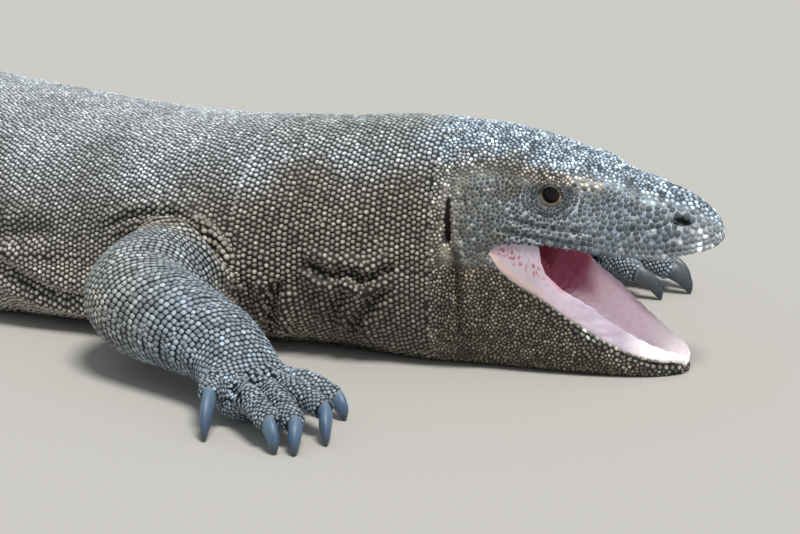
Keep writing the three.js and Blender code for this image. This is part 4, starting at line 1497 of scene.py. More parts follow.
@dataclass
class Mouth:
    """The mouth's lining: floor with gums and cheek webs, palate, and the throat, dark with painted shade."""

    skull: Skull
    crest: tuple = ((29, 98.5), (50, 102.5), (68, 102.5), (70, 99), (71.5, 88), (75, 79), (87, 67), (98, 60),
                    (111, 52), (119, 45), (135, 34.5), (150, 25.5), (160, 20.5), (170, 16.5), (173.5, 13))

    def floor_height(self, at: Array, share: Array) -> Array:
        """Height of the lining at a share of the half width.

        From the lip it rises to the crest of the gum, or to the upper lip where the cheek's web
        is, then falls to a floor with a long low swelling in its middle.

        Args:
            at: Distances in front of the ears.
            share: Shares of the jaw's half width.

        Returns:
            Heights.
        """
        table = np.array(self.crest)
        crest = np.interp(at, table[:, 0], table[:, 1])
        rim = JAW("rim", at) - 0.4
        floor = rim - self.skull.trough_depth(at, share * 0.9) + 1.5
        swelling = 4.5 * ramp(np.abs(share), 0.5, 0.1) * ramp(at, 60, 90) * ramp(at, 168, 140)
        size = np.abs(share)
        web = ramp(at, 100, 60)
        top_at = 0.86 + 0.06 * web
        outer = rim + (crest - rim) * np.clip((1 - size) / (1 - top_at), 0, 1) ** (0.8 + 0.1 * web)
        inner = floor + swelling + (crest - floor - swelling) * ramp(size, 0.56 + 0.22 * web, top_at)
        bumps = 0.9 * np.abs(np.sin(np.pi * at / 9.5)) * bell(size - top_at, 0.07) * ramp(at, 88, 104)
        return np.where(size > top_at, outer, inner) + bumps * ramp(at, 172, 164)

    def floor(self) -> Piece:
        """Build the floor, the gums and both cheek webs as one closed sheet."""
        at = np.concatenate([np.arange(30, 68, 0.9), np.arange(68, 80, 0.5), np.arange(80, 174, 1.1)])
        spans = ((-1, -0.8, 34), (-0.78, 0.78, 60), (0.8, 1, 34))
        share = np.concatenate([np.linspace(*span) for span in spans])
        place, across = crossing(at, share)
        half = JAW("half", place) - 1.2
        height = self.floor_height(place, across)
        spots = np.stack([place, across * 30, height], -1).reshape(-1, 3)
        wave = Mottle(22, 9)(spots).reshape(place.shape)
        folds = 0.35 * np.sin(place * 1.1 + 3 * wave) * ramp(np.abs(across), 0.75, 0.5)
        top = HEAD.place(place, half * across, height + folds)
        low = np.minimum(height - 1.6, JAW("rim", place) - 1.0 - self.skull.trough_depth(place, across * 0.9))
        bottom = HEAD.place(place, half * across * 0.985, np.maximum(low, 0.8))
        piece = shell("mouth_lining", top, bottom)
        grid = np.concatenate([top.reshape(-1, 3), bottom.reshape(-1, 3)])
        size = np.concatenate([np.abs(across).ravel()] * 2)
        set_colour(piece.data, self.colours(grid, size))
        return piece

    def colours(self, points: Array, size: Array) -> Array:
        """Colours of the lining: pale gums, a pink floor made very pale as painted light with a painted
        highlight and a nearly white front, and painted shade that darkens it backwards.

        Args:
            points: Points in millimetres.
            size: Their shares of the half width.

        Returns:
            Colours.
        """
        at, left, height = HEAD.read(points)
        streak = Mottle(9, 31)(points * np.array([0.5, 0.5, 1.6]))
        soft = Mottle(26, 32)(points)
        # Painted light: the floor's own pink is made very pale, as if lit, though it lies in the jaws' shade.
        colour = plain("fff0fb", len(points))
        colour = blend(colour, "fff0f6", 0.5 + 0.45 * streak)
        # Painted highlight: a bluish white patch on the middle of the floor's front.
        colour = blend(colour, "eef2ff", bell(at - 146, 13) * bell(left + 4, 15) * 0.9)
        # Painted shade: the floor darkens backwards into the mouth.
        colour = blend(colour, "a55c74", ramp(at + 4 * soft, 97, 74) * ramp(size, 0.97, 0.86))
        gum = ramp(size, 0.74, 0.84) * ramp(at + 3 * soft, 78, 96)
        colour = blend(colour, "b6a9ba", gum * (0.85 + 0.15 * streak))
        outer = ramp(size, 0.9, 0.925)
        colour = blend(colour, "c2b4bf", outer * ramp(at, 120, 90))
        dots = ramp(Mottle(2.6, 33, 36)(points), 0.35, 0.6) * bell(height - 93 + 0.5 * (at - 50), 7)
        colour = blend(colour, "a82e40", dots * ramp(at, 80, 70) * outer * 0.95)
        edge = bell(height - JAW("rim", at) - 2, 3) * outer * ramp(at, 90, 60)
        colour = blend(colour, "d9b48f", edge * 0.5)
        # Painted light: the front of the floor is made nearly white, as if brightly lit.
        return blend(colour, "fffafc", ramp(at, 128, 152) * 0.95)

    def palate(self) -> Piece:
        """Build the palate: a low arch with two long ridges inside the lips."""
        at = np.arange(34, 187, 2.0)
        share = np.linspace(-0.95, 0.95, 61)
        place, across = crossing(at, share)
        half = SKULL("half", place) - 1.5
        rise = self.skull.palate_rise(place, across)
        ridge = 1.2 * bell(np.abs(across) - 0.62, 0.08) * ramp(place, 40, 60) * ramp(place, 192, 170)
        height = SKULL("lip", place) + rise - 1.2 - ridge + 3.2 * ramp(np.abs(across), 0.72, 0.92)
        height = height + 2.0 * ramp(place, 150, 175)
        low = HEAD.place(place, half * across, height)
        high = HEAD.place(place, half * across, height + 1.6 + ridge * 0.8)
        piece = shell("palate_lining", low, high)
        points = points_of(piece.data)
        forward = HEAD.read(points)[0]
        # Painted shade: the palate darkens backwards into the mouth.
        colour = plain("c98594", len(points))
        colour = blend(colour, "83404f", ramp(forward, 120, 70))
        set_colour(piece.data, colour)
        return piece

    def throat(self) -> Piece:
        """Build the throat: a cup that narrows backwards, its outer wall first, then its inner one."""
        turn = np.linspace(0, 2 * np.pi, 48, endpoint=False)
        depths = np.linspace(0, 1, 14)
        deep = np.concatenate([1.0 - depths, depths])[:, None]
        wall = np.repeat([1.5, 0.0], 14)[:, None]
        at = 60 - wall - 22 * np.sin(deep * np.pi / 2) + 0 * turn
        shrink = np.sqrt(1 - 0.97 * deep**2)
        across = (46 * shrink + wall) * np.cos(turn)
        rings = HEAD.place(at, across, 83 + 4 * deep + (24 * shrink + wall) * np.sin(turn))
        points, faces = closed_loft(rings)
        piece = new_piece("throat", points, faces)
        forward = HEAD.read(points)[0]
        # Painted shade: the throat is dark, and darkest furthest in.
        colour = plain("6a2838", len(points))
        set_colour(piece.data, blend(colour, "93505f", ramp(forward, 46, 60)))
        return piece


@dataclass
class Eye:
    """An eye with its lids, on one side of the head."""

    skull: Skull
    side: int
    opening: float = 6.2

    def ball(self) -> Piece:
        """Build the eyeball, with rings round its outward axis so that the iris is round."""
        skull = self.skull
        from_axis, turn = crossing(np.linspace(0.02, np.pi - 0.02, 40), np.linspace(0, 2 * np.pi, 49)[:-1])
        ring = skull.eye_radius * np.sin(from_axis)
        bulge = 0.9 * bell(ring, 4.6) * (from_axis < 1.5)
        left = self.side * (skull.eye_left + (skull.eye_radius + bulge) * np.cos(from_axis))
        rings = HEAD.place(skull.eye_at + ring * np.cos(turn), left, skull.eye_height + ring * np.sin(turn))
        points, faces = closed_loft(rings)
        piece = new_piece(f"eyeball_{side_name(self.side)}", points, faces)
        at, left, height = HEAD.read(points)
        front = np.abs(left) > skull.eye_left
        set_value(piece.data, "Ring", np.where(front, skull.from_eye(at, height), 9.0))
        return piece

    def lids(self, ground: Ground) -> Piece:
        """Build both lids as one ring: a rounded rim on the ball that runs out into the skin.

        Args:
            ground: The skin.

        Returns:
            The lids.
        """
        skull = self.skull
        share, turn = crossing(np.linspace(0, 1, 22), np.linspace(0, 2 * np.pi, 97)[:-1])
        inner = self.opening * (1 - 0.07 * np.abs(np.sin(turn)) - 0.05 * np.sin(turn))
        away = inner + (12.6 - inner) * share
        at = skull.eye_at + away * np.cos(turn)
        height = skull.eye_height + away * np.sin(turn)
        ball = skull.eye_left + np.sqrt(np.maximum(skull.eye_radius**2 - away**2, 0.0))
        aim = HEAD.place(at, self.side * 60.0, height).reshape(-1, 3)
        inward = Vector(tuple(-self.side * HEAD.left))
        hits = [ground.tree.ray_cast(Vector(p), inward) for p in aim.tolist()]
        depth = np.array([60.0 - h[3] if h[0] is not None else 40.0 for h in hits]).reshape(at.shape)
        outer = depth[-1][None] * np.ones_like(depth)
        start = ball[0][None] + 0.3
        rim = start + (outer - 0.5 - start) * ramp(share, 0.0, 0.95)
        rim = rim + 1.1 * bell(share - 0.13, 0.12) + 0.45 * bell(share - 0.5, 0.12)
        rim = rim - 0.5 * bell(share - 0.32, 0.08)
        left = np.where(share > 0.85, np.maximum(rim, depth - 0.6), rim)
        top = HEAD.place(at, self.side * left, height)
        back = HEAD.place(at, self.side * (left - 1.6 - 2.5 * share), height)
        rings = np.concatenate([top, back[::-1]], axis=0)
        count, columns = rings.shape[:2]
        quads = sheet_faces(count + 1, columns, True) % (count * columns)
        piece = new_piece(f"eyelids_{side_name(self.side)}", rings.reshape(-1, 3), quads)
        outward(piece)
        points = points_of(piece.data)
        colour = MARKINGS(points) * 0.75
        place, _, level = HEAD.read(points)
        ring = skull.from_eye(place, level)
        low = ramp(level - skull.eye_height, 1.5, -2.5)
        cream = bell(ring - self.opening - 1.5, 0.6) * (0.02 + 0.93 * low)
        colour = blend(colour, "c2ab84", cream * 1.2)
        colour = blend(colour, "15110f", ramp(ring, self.opening + 0.8, self.opening + 0.2))
        colour = blend(colour, "1c1917", bell(ring - self.opening - 2.7, 0.55) * 0.9)
        colour = blend(colour, "8f8468", bell(ring - self.opening - 3.8, 0.5) * 0.6 * low)
        set_colour(piece.data, colour)
        return piece


def ear_drum(side: int) -> Piece:
    """Build the dark drum in an ear's slit: a tall oval that fits in the skin's groove.

    Args:
        side: The side of the head, -1 for the right one.

    Returns:
        The drum.
    """
    from_axis, turn = crossing(np.linspace(0.05, np.pi - 0.05, 24), np.linspace(0, 2 * np.pi, 33)[:-1])
    at = 2.5 + 2.6 * np.sin(from_axis) * np.cos(turn)
    left = side * (57.5 + 3.4 * np.sin(from_axis) * np.sin(turn))
    rings = HEAD.place(at, left, 118 + 17.5 * np.cos(from_axis))
    return new_piece(f"ear_drum_{side_name(side)}", *closed_loft(rings))


def claw(digit: Digit, name: str) -> Piece:
    """Build a claw: an oval that tapers along the digit's path, with a keel on top.

    Its size falls as 1.02 less the share of the way to the power of 2.4, all to the power of 0.72,
    so it stays stout and then closes to a point. The top has a keel, and the bottom is flattened.

    Args:
        digit: The digit that carries it.
        name: The piece's name.

    Returns:
        The claw.
    """
    share = np.linspace(0, 1, 22)
    turn = np.linspace(0, 2 * np.pi, 24, endpoint=False)
    along, angle = (v.ravel() for v in crossing(share, turn))
    t = 0.478 + (1 - 0.478) * along
    size = digit.claw_root * (1.02 - along**2.4) ** 0.72 + 0.3
    keel = 1 + 0.16 * np.maximum(np.sin(angle), 0) ** 3 - 0.16 * np.maximum(-np.sin(angle), 0) ** 4
    wide = size * 0.84
    high = (size + 0.9 * (1 - along)) * keel
    points = section_ring(digit.course.point(t), digit.course.tangent(t), wide, high, angle)
    shape = closed_loft(points.reshape(len(share), len(turn), 3))
    piece = new_piece(name, *shape)
    set_value(piece.data, "Along", np.concatenate([along, [0.0, 1.0]]))
    set_value(piece.data, "Around", np.concatenate([np.abs(angle / np.pi - 1), [0.5, 0.5]]))
    return piece


# ---- The coat of scales ----


class Bead(Enum):
    """The form of a scale, by how many points its outline has."""

    DOME = 6
    PLATE = 8


@dataclass
class Scales:
    """Many scales of one form: where each is rooted, how it lies, and how large it is."""

    form: Bead
    roots: Array
    ups: Array
    lies: Array
    along: Array
    across: Array
    tall: Array
    unwrap: Array
    lean: float = 0.2
    speckle: float = 0.28

    def kept(self, which: Array) -> "Scales":
        """Only some of the scales."""
        arrays = (self.roots, self.ups, self.lies, self.along, self.across, self.tall, self.unwrap)
        return Scales(self.form, *(a[which] for a in arrays), self.lean, self.speckle)

    def build(self, name: str) -> Piece:
        """Join the scales in one mesh.

        A scale is an outline sunk in the skin, a narrower shoulder, and a top that leans the way
        it lies. The outline is cut back where a neighbour is near, so that scales pack like cobbles.
        Scales whose roots nearly coincide with one before them are left out.

        Args:
            name: The piece's name.

        Returns:
            The piece.
        """
        apart = thinned(self.roots, np.full(len(self.roots), LEAST_ROOT_GAP))
        if len(apart) < len(self.roots):
            return self.kept(apart).build(name)
        n = self.form.value
        count = len(self.roots)
        lie = unit(self.lies - self.ups * (self.lies * self.ups).sum(axis=1)[:, None])
        side = np.cross(self.ups, lie)
        angle = 2 * np.pi * (np.arange(n) + 0.5) / n
        face = MARKINGS.face(self.roots)
        reach = self._outline(lie, side, angle, face)
        x, y = reach * np.cos(angle), reach * np.sin(angle)
        draw = np.random.default_rng(SEED)
        tint = draw.normal(0, 1, count).clip(-2, 2)
        tall = self.tall * (1 + 0.12 * draw.normal(0, 1, count).clip(-2, 2))
        shift = (0.05 + 0.12 * self.lean) * self.along[:, None]
        edge = tall[:, None] * (0.68 + 0.34 * self.lean * np.cos(angle)[None])
        full = np.maximum(0.725 + 0.22 * self.lean, 0.86 * face)[:, None]
        apex = ((0.1 + 0.25 * self.lean) * self.along[:, None], np.zeros((count, 1)), tall[:, None])
        rings = [(x, y, np.full((count, n), -SCALE_SUNK)), (x * full + shift, y * full, edge), apex]
        levels = [np.zeros((count, n)), np.full((count, n), 0.56 + 0.18 * self.lean), np.ones((count, 1))]
        across, aside, up = (np.concatenate([ring[k] for ring in rings], axis=1) for k in range(3))
        points = (self.roots[:, None] + across[..., None] * lie[:, None] + aside[..., None] * side[:, None]
                  + up[..., None] * self.ups[:, None])
        points[..., 2] = np.maximum(points[..., 2], 0.05)
        template = self._faces(n)
        size = points.shape[1]
        faces = (template[None] + (np.arange(count) * size)[:, None, None]).reshape(-1, 3)
        piece = new_piece(name, points.reshape(-1, 3), faces)
        self._paint(piece, np.concatenate(levels, axis=1), tint, across, aside)
        return piece

    @staticmethod
    def _faces(n: int) -> Array:
        """The triangles of one scale: a band between the rings, and a fan to the top."""
        k = np.arange(n)
        after = (k + 1) % n
        triangles = ((k, after, after + n), (k, after + n, k + n), (k + n, after + n, np.full(n, 2 * n)))
        return np.concatenate([np.stack(corners, axis=1) for corners in triangles])

    def _outline(self, lie: Array, side: Array, angle: Array, face: Array) -> Array:
        """How far the outline reaches in each direction, up to half way to each neighbour."""
        tree = tree_of(self.roots)
        near = np.array([[f[1] for f in tree.find_n(root, 8)] for root in self.roots.tolist()])[:, 1:]
        apart = self.roots[near] - self.roots[:, None]
        x = (apart * lie[:, None]).sum(axis=2)
        y = (apart * side[:, None]).sum(axis=2)
        ways = np.stack([np.cos(angle), np.sin(angle)])
        towards = x[..., None] * ways[0] + y[..., None] * ways[1]
        half = (x**2 + y**2)[..., None] / 2 / np.maximum(towards, 1e-3)
        oval = 1 / np.sqrt((ways[0] / self.along[:, None]) ** 2 + (ways[1] / self.across[:, None]) ** 2)
        full = np.maximum(0.905 + 0.08 * self.lean, 0.97 * face)[:, None]
        return np.minimum(half.min(axis=1) * full, oval * (1.1 + 0.1 * self.lean + 0.12 * face[:, None]))

    def _paint(self, piece: Piece, level: Array, tint: Array, across: Array, aside: Array) -> None:
        """Store the markings, with painted shade darkening each scale towards the gap colour at its outline
        and a painted highlight on its top, and each scale's patch on the unwrap of the skin.
        """
        top, gap = MARKINGS(self.roots), MARKINGS.gap(self.roots)
        top = top * np.exp(self.speckle * tint)[:, None]
        # Painted shade and painted highlight: each scale runs from the dark gap colour at its outline to 1.25
        # times its own colour at its top.
        share = np.interp(level, [0, 0.7, 1], [0, 1, 1])[..., None]
        colour = gap[:, None] * (1 - share) + top[:, None] * (-0.1 + 1.35 * level[..., None]) * share
        mesh = piece.data
        set_colour(mesh, colour.reshape(-1, 3))
        low, high = self.unwrap.min(axis=0), self.unwrap.max(axis=0)
        inner = 1 - 2 * PATCH_MARGIN
        centre = PATCH_MARGIN + inner * (self.unwrap - low) / np.maximum(high - low, 1e-6)
        size = np.stack([across, aside], axis=2) / np.maximum(self.along, self.across)[:, None, None]
        place = (centre[:, None] + size * PATCH_HALF).reshape(-1, 2)
        layer = mesh.uv_layers.new(name="OFBake")
        corner = values_of(mesh.loops, "vertex_index", 1, np.int32).ravel()
        layer.data.foreach_set("uv", place[corner].astype(np.float32).ravel())


@dataclass
class Rows:
    """Scales in rows round a part that has an axis, as on the trunk, a limb or a digit."""

    surface: Callable[[Array, Array], Array]
    stations: Array
    step: Array | float
    across: Array | float
    form: Bead
    tall: float
    wide_below: float = 1.0
    samples: int = 160
    lean: float = 0.2
    jitter: float = 0.09
    steady: float = 0.0

    def lay(self, ground: Ground) -> Scales:
        """Place the scales: equal lengths of arc round each ring, every other row shifted by half.

        Args:
            ground: The skin that they are dropped on.

        Returns:
            The scales, those far from the skin left out.
        """
        angle = np.linspace(-np.pi / 2, 1.5 * np.pi, self.samples + 1)
        draw = np.random.default_rng(SEED + len(self.stations))
        places, turns, pitch, gaps = [], [], [], []
        sizes = (np.broadcast_to(v, len(self.stations)) for v in (self.step, self.across))
        for row, (station, step, across) in enumerate(zip(self.stations, *sizes)):
            ring = self.surface(np.full(len(angle), station), angle)
            length = np.linalg.norm(np.diff(ring, axis=0), axis=1)
            middle = (ring[1:, 2] + ring[:-1, 2]) / 2
            weight = length / np.interp(middle, [3.0, 14.0], [self.wide_below, 1.0])
            total = np.concatenate([[0], np.cumsum(weight)])
            count = max(int(round(total[-1] / across)), 5)
            share = (np.arange(count) + 0.5 * (row % 2) + self.jitter * draw.normal(0, 1, count)) / count % 1
            turns.append(np.interp(share * total[-1], total, angle))
            spread = self.stations[min(row + 1, len(self.stations) - 1)] - self.stations[max(row - 1, 0)]
            places.append(station + 0.5 * spread * self.jitter * draw.normal(0, 1, count))
            width = np.interp(share, total[:-1] / total[-1], length / np.maximum(weight, 1e-9))
            pitch.append(width * total[-1] / count)
            gaps.append(np.full(count, step))
        at, turn, across, step = (np.concatenate(v) for v in (places, turns, pitch, gaps))
        points = self.surface(at, turn)
        ahead = unit(self.surface(at + (self.stations[1] - self.stations[0]) * 0.2, turn) - points)
        outward = unit(np.cross(self.surface(at, turn + 0.02) - self.surface(at, turn - 0.02), ahead))
        middle = self.surface(at, turn + np.pi / 2) + self.surface(at, turn - np.pi / 2)
        middle = (middle + points + self.surface(at, turn + np.pi)) / 4
        outward *= np.sign((outward * (points - middle)).sum(axis=1))[:, None]
        roots, ups, distance = ground.cast(points, outward)
        ups = unit(self.steady * outward + (1 - self.steady) * ups)
        unwrap = np.stack([at, turn], axis=1)
        tall = self.tall * np.ones(len(at))
        scales = Scales(self.form, roots, ups, ahead, step * 0.58, across * 0.53, tall, unwrap, self.lean)
        return scales.kept(distance < 8)


def together(parts: Sequence[Scales]) -> Scales:
    """One set of scales from several of the same form."""
    names = ("roots", "ups", "lies", "along", "across", "tall", "unwrap")
    first = parts[0]
    return Scales(first.form, *(np.concatenate([getattr(p, n) for p in parts]) for n in names), first.lean)


def scattered(corners: Array, count: int, draw: np.random.Generator) -> Array:
    """Seeded places spread evenly by area over triangles.

    Args:
        corners: The triangles' corners, three for each.
        count: How many places.
        draw: The seeded source of numbers.

    Returns:
        Points.
    """
    area = np.linalg.norm(np.cross(corners[:, 1] - corners[:, 0], corners[:, 2] - corners[:, 0]), axis=1)
    pick = np.minimum(np.searchsorted(np.cumsum(area) / area.sum(), draw.random(count)), len(corners) - 1)
    a, b = np.sqrt(draw.random(count)), draw.random(count)
    weights = np.stack([1 - a, a * (1 - b), a * b], axis=1)
    return (corners[pick] * weights[..., None]).sum(axis=1)


def tree_of(points: Array) -> KDTree:
    """A search tree of points."""
    tree = KDTree(len(points))
    for k, point in enumerate(points.tolist()):
        tree.insert(point, k)
    tree.balance()
    return tree


def thinned(points: Array, spacing: Array) -> list[int]:
    """Which points to keep, in their order, so that none is nearer to a kept one than its spacing.

    Args:
        points: The points.
        spacing: How much room each keeps free round it.

    Returns:
        The kept points' numbers.
    """
    tree = tree_of(points)
    free = np.ones(len(points), dtype=bool)
    kept = []
    for k, point in enumerate(points.tolist()):
        if free[k]:
            kept.append(k)
            free[[found[1] for found in tree.find_range(point, spacing[k])]] = False
    return kept


def clear_of(points: Array, others: Array, gap: Array | float) -> Array:
    """Which points are further than a gap from every one of the others."""
    tree = tree_of(others)
    return np.array([tree.find(point)[2] for point in points.tolist()]) > gap


@dataclass
class HeadScales:
    """The irregular scales of the head: small on crown and cheek, large on snout and lips."""

    skull: Skull
    candidates: int = 110000

    def spacing(self, points: Array) -> Array:
        """The usual distance between scales by place, in millimetres."""
        at, left, height = HEAD.read(points)
        size = np.full(len(points), 2.9)
        snout = ramp(at, 92, 130) * ramp(height, 84, 94)
        size += 1.5 * snout * ramp(height, 146, 134)
        size -= 0.25 * ramp(height, 96, 84)
        away = self.skull.from_eye(at, height)
        size -= 0.9 * ramp(away, 26, 12) * (np.abs(left) > 22)
        size -= 0.9 * ramp(at, 184, 194)
        return np.maximum(size, 1.9)

    def lay(self, ground: Ground) -> Scales:
        """Scatter the scales: seeded places by area, thinned so that none is too near another.

        Args:
            ground: The skin with the lids.

        Returns:
            The scales.
        """
        draw = np.random.default_rng(SEED + 1)
        corners = ground.points[ground.triangles]
        at, left, height = HEAD.read(corners.mean(axis=1))
        head = (at > -NAPE + 0.5) & (np.abs(left) < 84)
        points = scattered(corners[head], self.candidates, draw)
        points = points[self._outside(points)]
        spacing = self.spacing(points)
        kept = thinned(points, spacing * 0.84)
        fixed, fixed_spacing = self._rows(ground)
        points, spacing = points[kept], spacing[kept]
        clear = clear_of(points, fixed, 0.5 * (spacing + 3.0))
        spacing = np.concatenate([fixed_spacing, spacing[clear]])
        points = self._evened(np.vstack([fixed, points[clear]]), spacing, len(fixed))
        roots, ups, _ = ground.snap(points)
        lies = np.tile(-HEAD.forward, (len(roots), 1)) + 0.3 * np.array([0, 0, -1.0])
        at, left, height = HEAD.read(roots)
        unwrap = np.stack([at, np.arctan2(height - 100, left)], axis=1)
        size = spacing * 0.62
        return Scales(Bead.PLATE, roots, ups, lies, size, size, 0.26 * spacing + 0.15, unwrap, 0.2, 0.5)

    def _rows(self, ground: Ground) -> tuple[Array, Array]:
        """The scales in rows: three rows along each lip, and rings round each eye.

        Args:
            ground: The skin with the lids.

        Returns:
            Places and spacings.
        """
        seeds, outward, sizes = [], [], []
        draw = np.random.default_rng(SEED + 2)
        for row, (rise, pitch) in enumerate(((4.2, 4.9), (8.3, 4.6), (12.1, 4.3))):
            at = np.arange(74 + 2 * (row % 2), 198 - row, pitch)
            _, top, lip, crown = SKULL.row(at)
            turn = np.arcsin(np.clip(rise / (top - lip), 0, 1) ** (crown / 2))
            for angle in (turn, np.pi - turn):
                seeds.append(self.skull.upper(at, angle))
                outward.append(self._way_out(angle, ramp(at, 178, 196)))
                sizes.append(np.full(len(at), pitch))
        for row, (fall, pitch) in enumerate(((2.4, 4.6), (6.4, 4.2))):
            at = np.arange(60 + 2 * (row % 2), 174 - row, pitch)
            rim, keel = JAW("rim", at), JAW("keel", at)
            turn = np.arcsin(np.clip(fall / (rim - JAW_HANG), 0, 1) ** (keel / 2))
            for angle in (-turn, np.pi + turn):
                seeds.append(self.skull.lower(at, angle))
                outward.append(self._way_out(angle, ramp(at, 160, 175)))
                sizes.append(np.full(len(at), pitch))
        for side in (-1, 1):
            for ring, pitch in ((9.4, 1.9), (11.7, 2.1), (14.1, 2.3), (16.7, 2.5), (19.4, 2.6)):
                count = int(2 * np.pi * ring / pitch)
                turn = 2 * np.pi * (np.arange(count) + 0.5 * (pitch > 2.2)) / count
                turn += 0.12 * draw.normal(0, 1, count) * 2.5 / ring
                away = ring + 0.4 * draw.normal(0, 1, count)
                at = self.skull.eye_at + away * np.cos(turn)
                height = self.skull.eye_height + 0.93 * away * np.sin(turn)
                keep = height < 154
                seeds.append(HEAD.place(at, side * 46.0, height)[keep])
                outward.append(np.tile(side * HEAD.left, (int(keep.sum()), 1)))
                sizes.append(np.full(int(keep.sum()), pitch))
        places, _, distance = ground.cast(np.vstack(seeds), unit(np.vstack(outward)), 8.0)
        near = distance < 9
        return places[near], np.concatenate(sizes)[near]

    @staticmethod
    def _way_out(angle: Array, forward: Array) -> Array:
        """Directions to the side that angles are on, and forwards by a share."""
        return np.sign(np.cos(angle))[:, None] * HEAD.left + forward[:, None] * HEAD.forward

    @staticmethod
    def _evened(points: Array, spacing: Array, fixed: int) -> Array:
        """Push scales that are too near apart, a few times over.

        Args:
            points: Their places.
            spacing: The distance that each wants.
            fixed: How many of the first ones stay.

        Returns:
            The new places.
        """
        for _ in range(4):
            tree = tree_of(points)
            near = np.array([[f[1] for f in tree.find_n(p, 7)] for p in points.tolist()])[:, 1:]
            away = points[:, None] - points[near]
            distance = np.maximum(np.linalg.norm(away, axis=2), 1e-6)
            push = np.maximum(spacing[:, None] * 1.04 - distance, 0) / distance
            push = 0.35 * (away * push[..., None]).sum(axis=1)
            push[:fixed] = 0
            points = points + push
        return points

    def _outside(self, points: Array) -> Array:
        """Which points lie outside the mouth, the eyes and the nostrils."""
        at, left, height = HEAD.read(points)
        side = np.abs(left)
        half = np.minimum(SKULL("half", at), JAW("half", np.minimum(at, 170)))
        roof = SKULL("lip", at) + PALATE_RISE + 2
        low = JAW("rim", at) - TROUGH_DEPTH - 2
        mouth = (at > GAPE_CORNER + 1) & (side < half - 3.2) & (height < roof) & (height > low) & (at < 189)
        mouth &= (at < 172) | (height > 60)
        mouth |= (at > 40) & (side < half - 1.5) & (np.abs(height - SKULL("lip", at) - 1) < 1.0)
        away = self.skull.from_eye(at, height)
        eye = (away < 9.2) & (side > 25)
        nostril = MARKINGS.nostril(at, height) < 1.34
        slit = (np.abs(at - self.skull.ear_at) < 3.4) & (side > 40)
        slit &= np.abs(height - self.skull.ear_height) < 18
        return ~(mouth | eye | (nostril & (side > 12)) | slit)


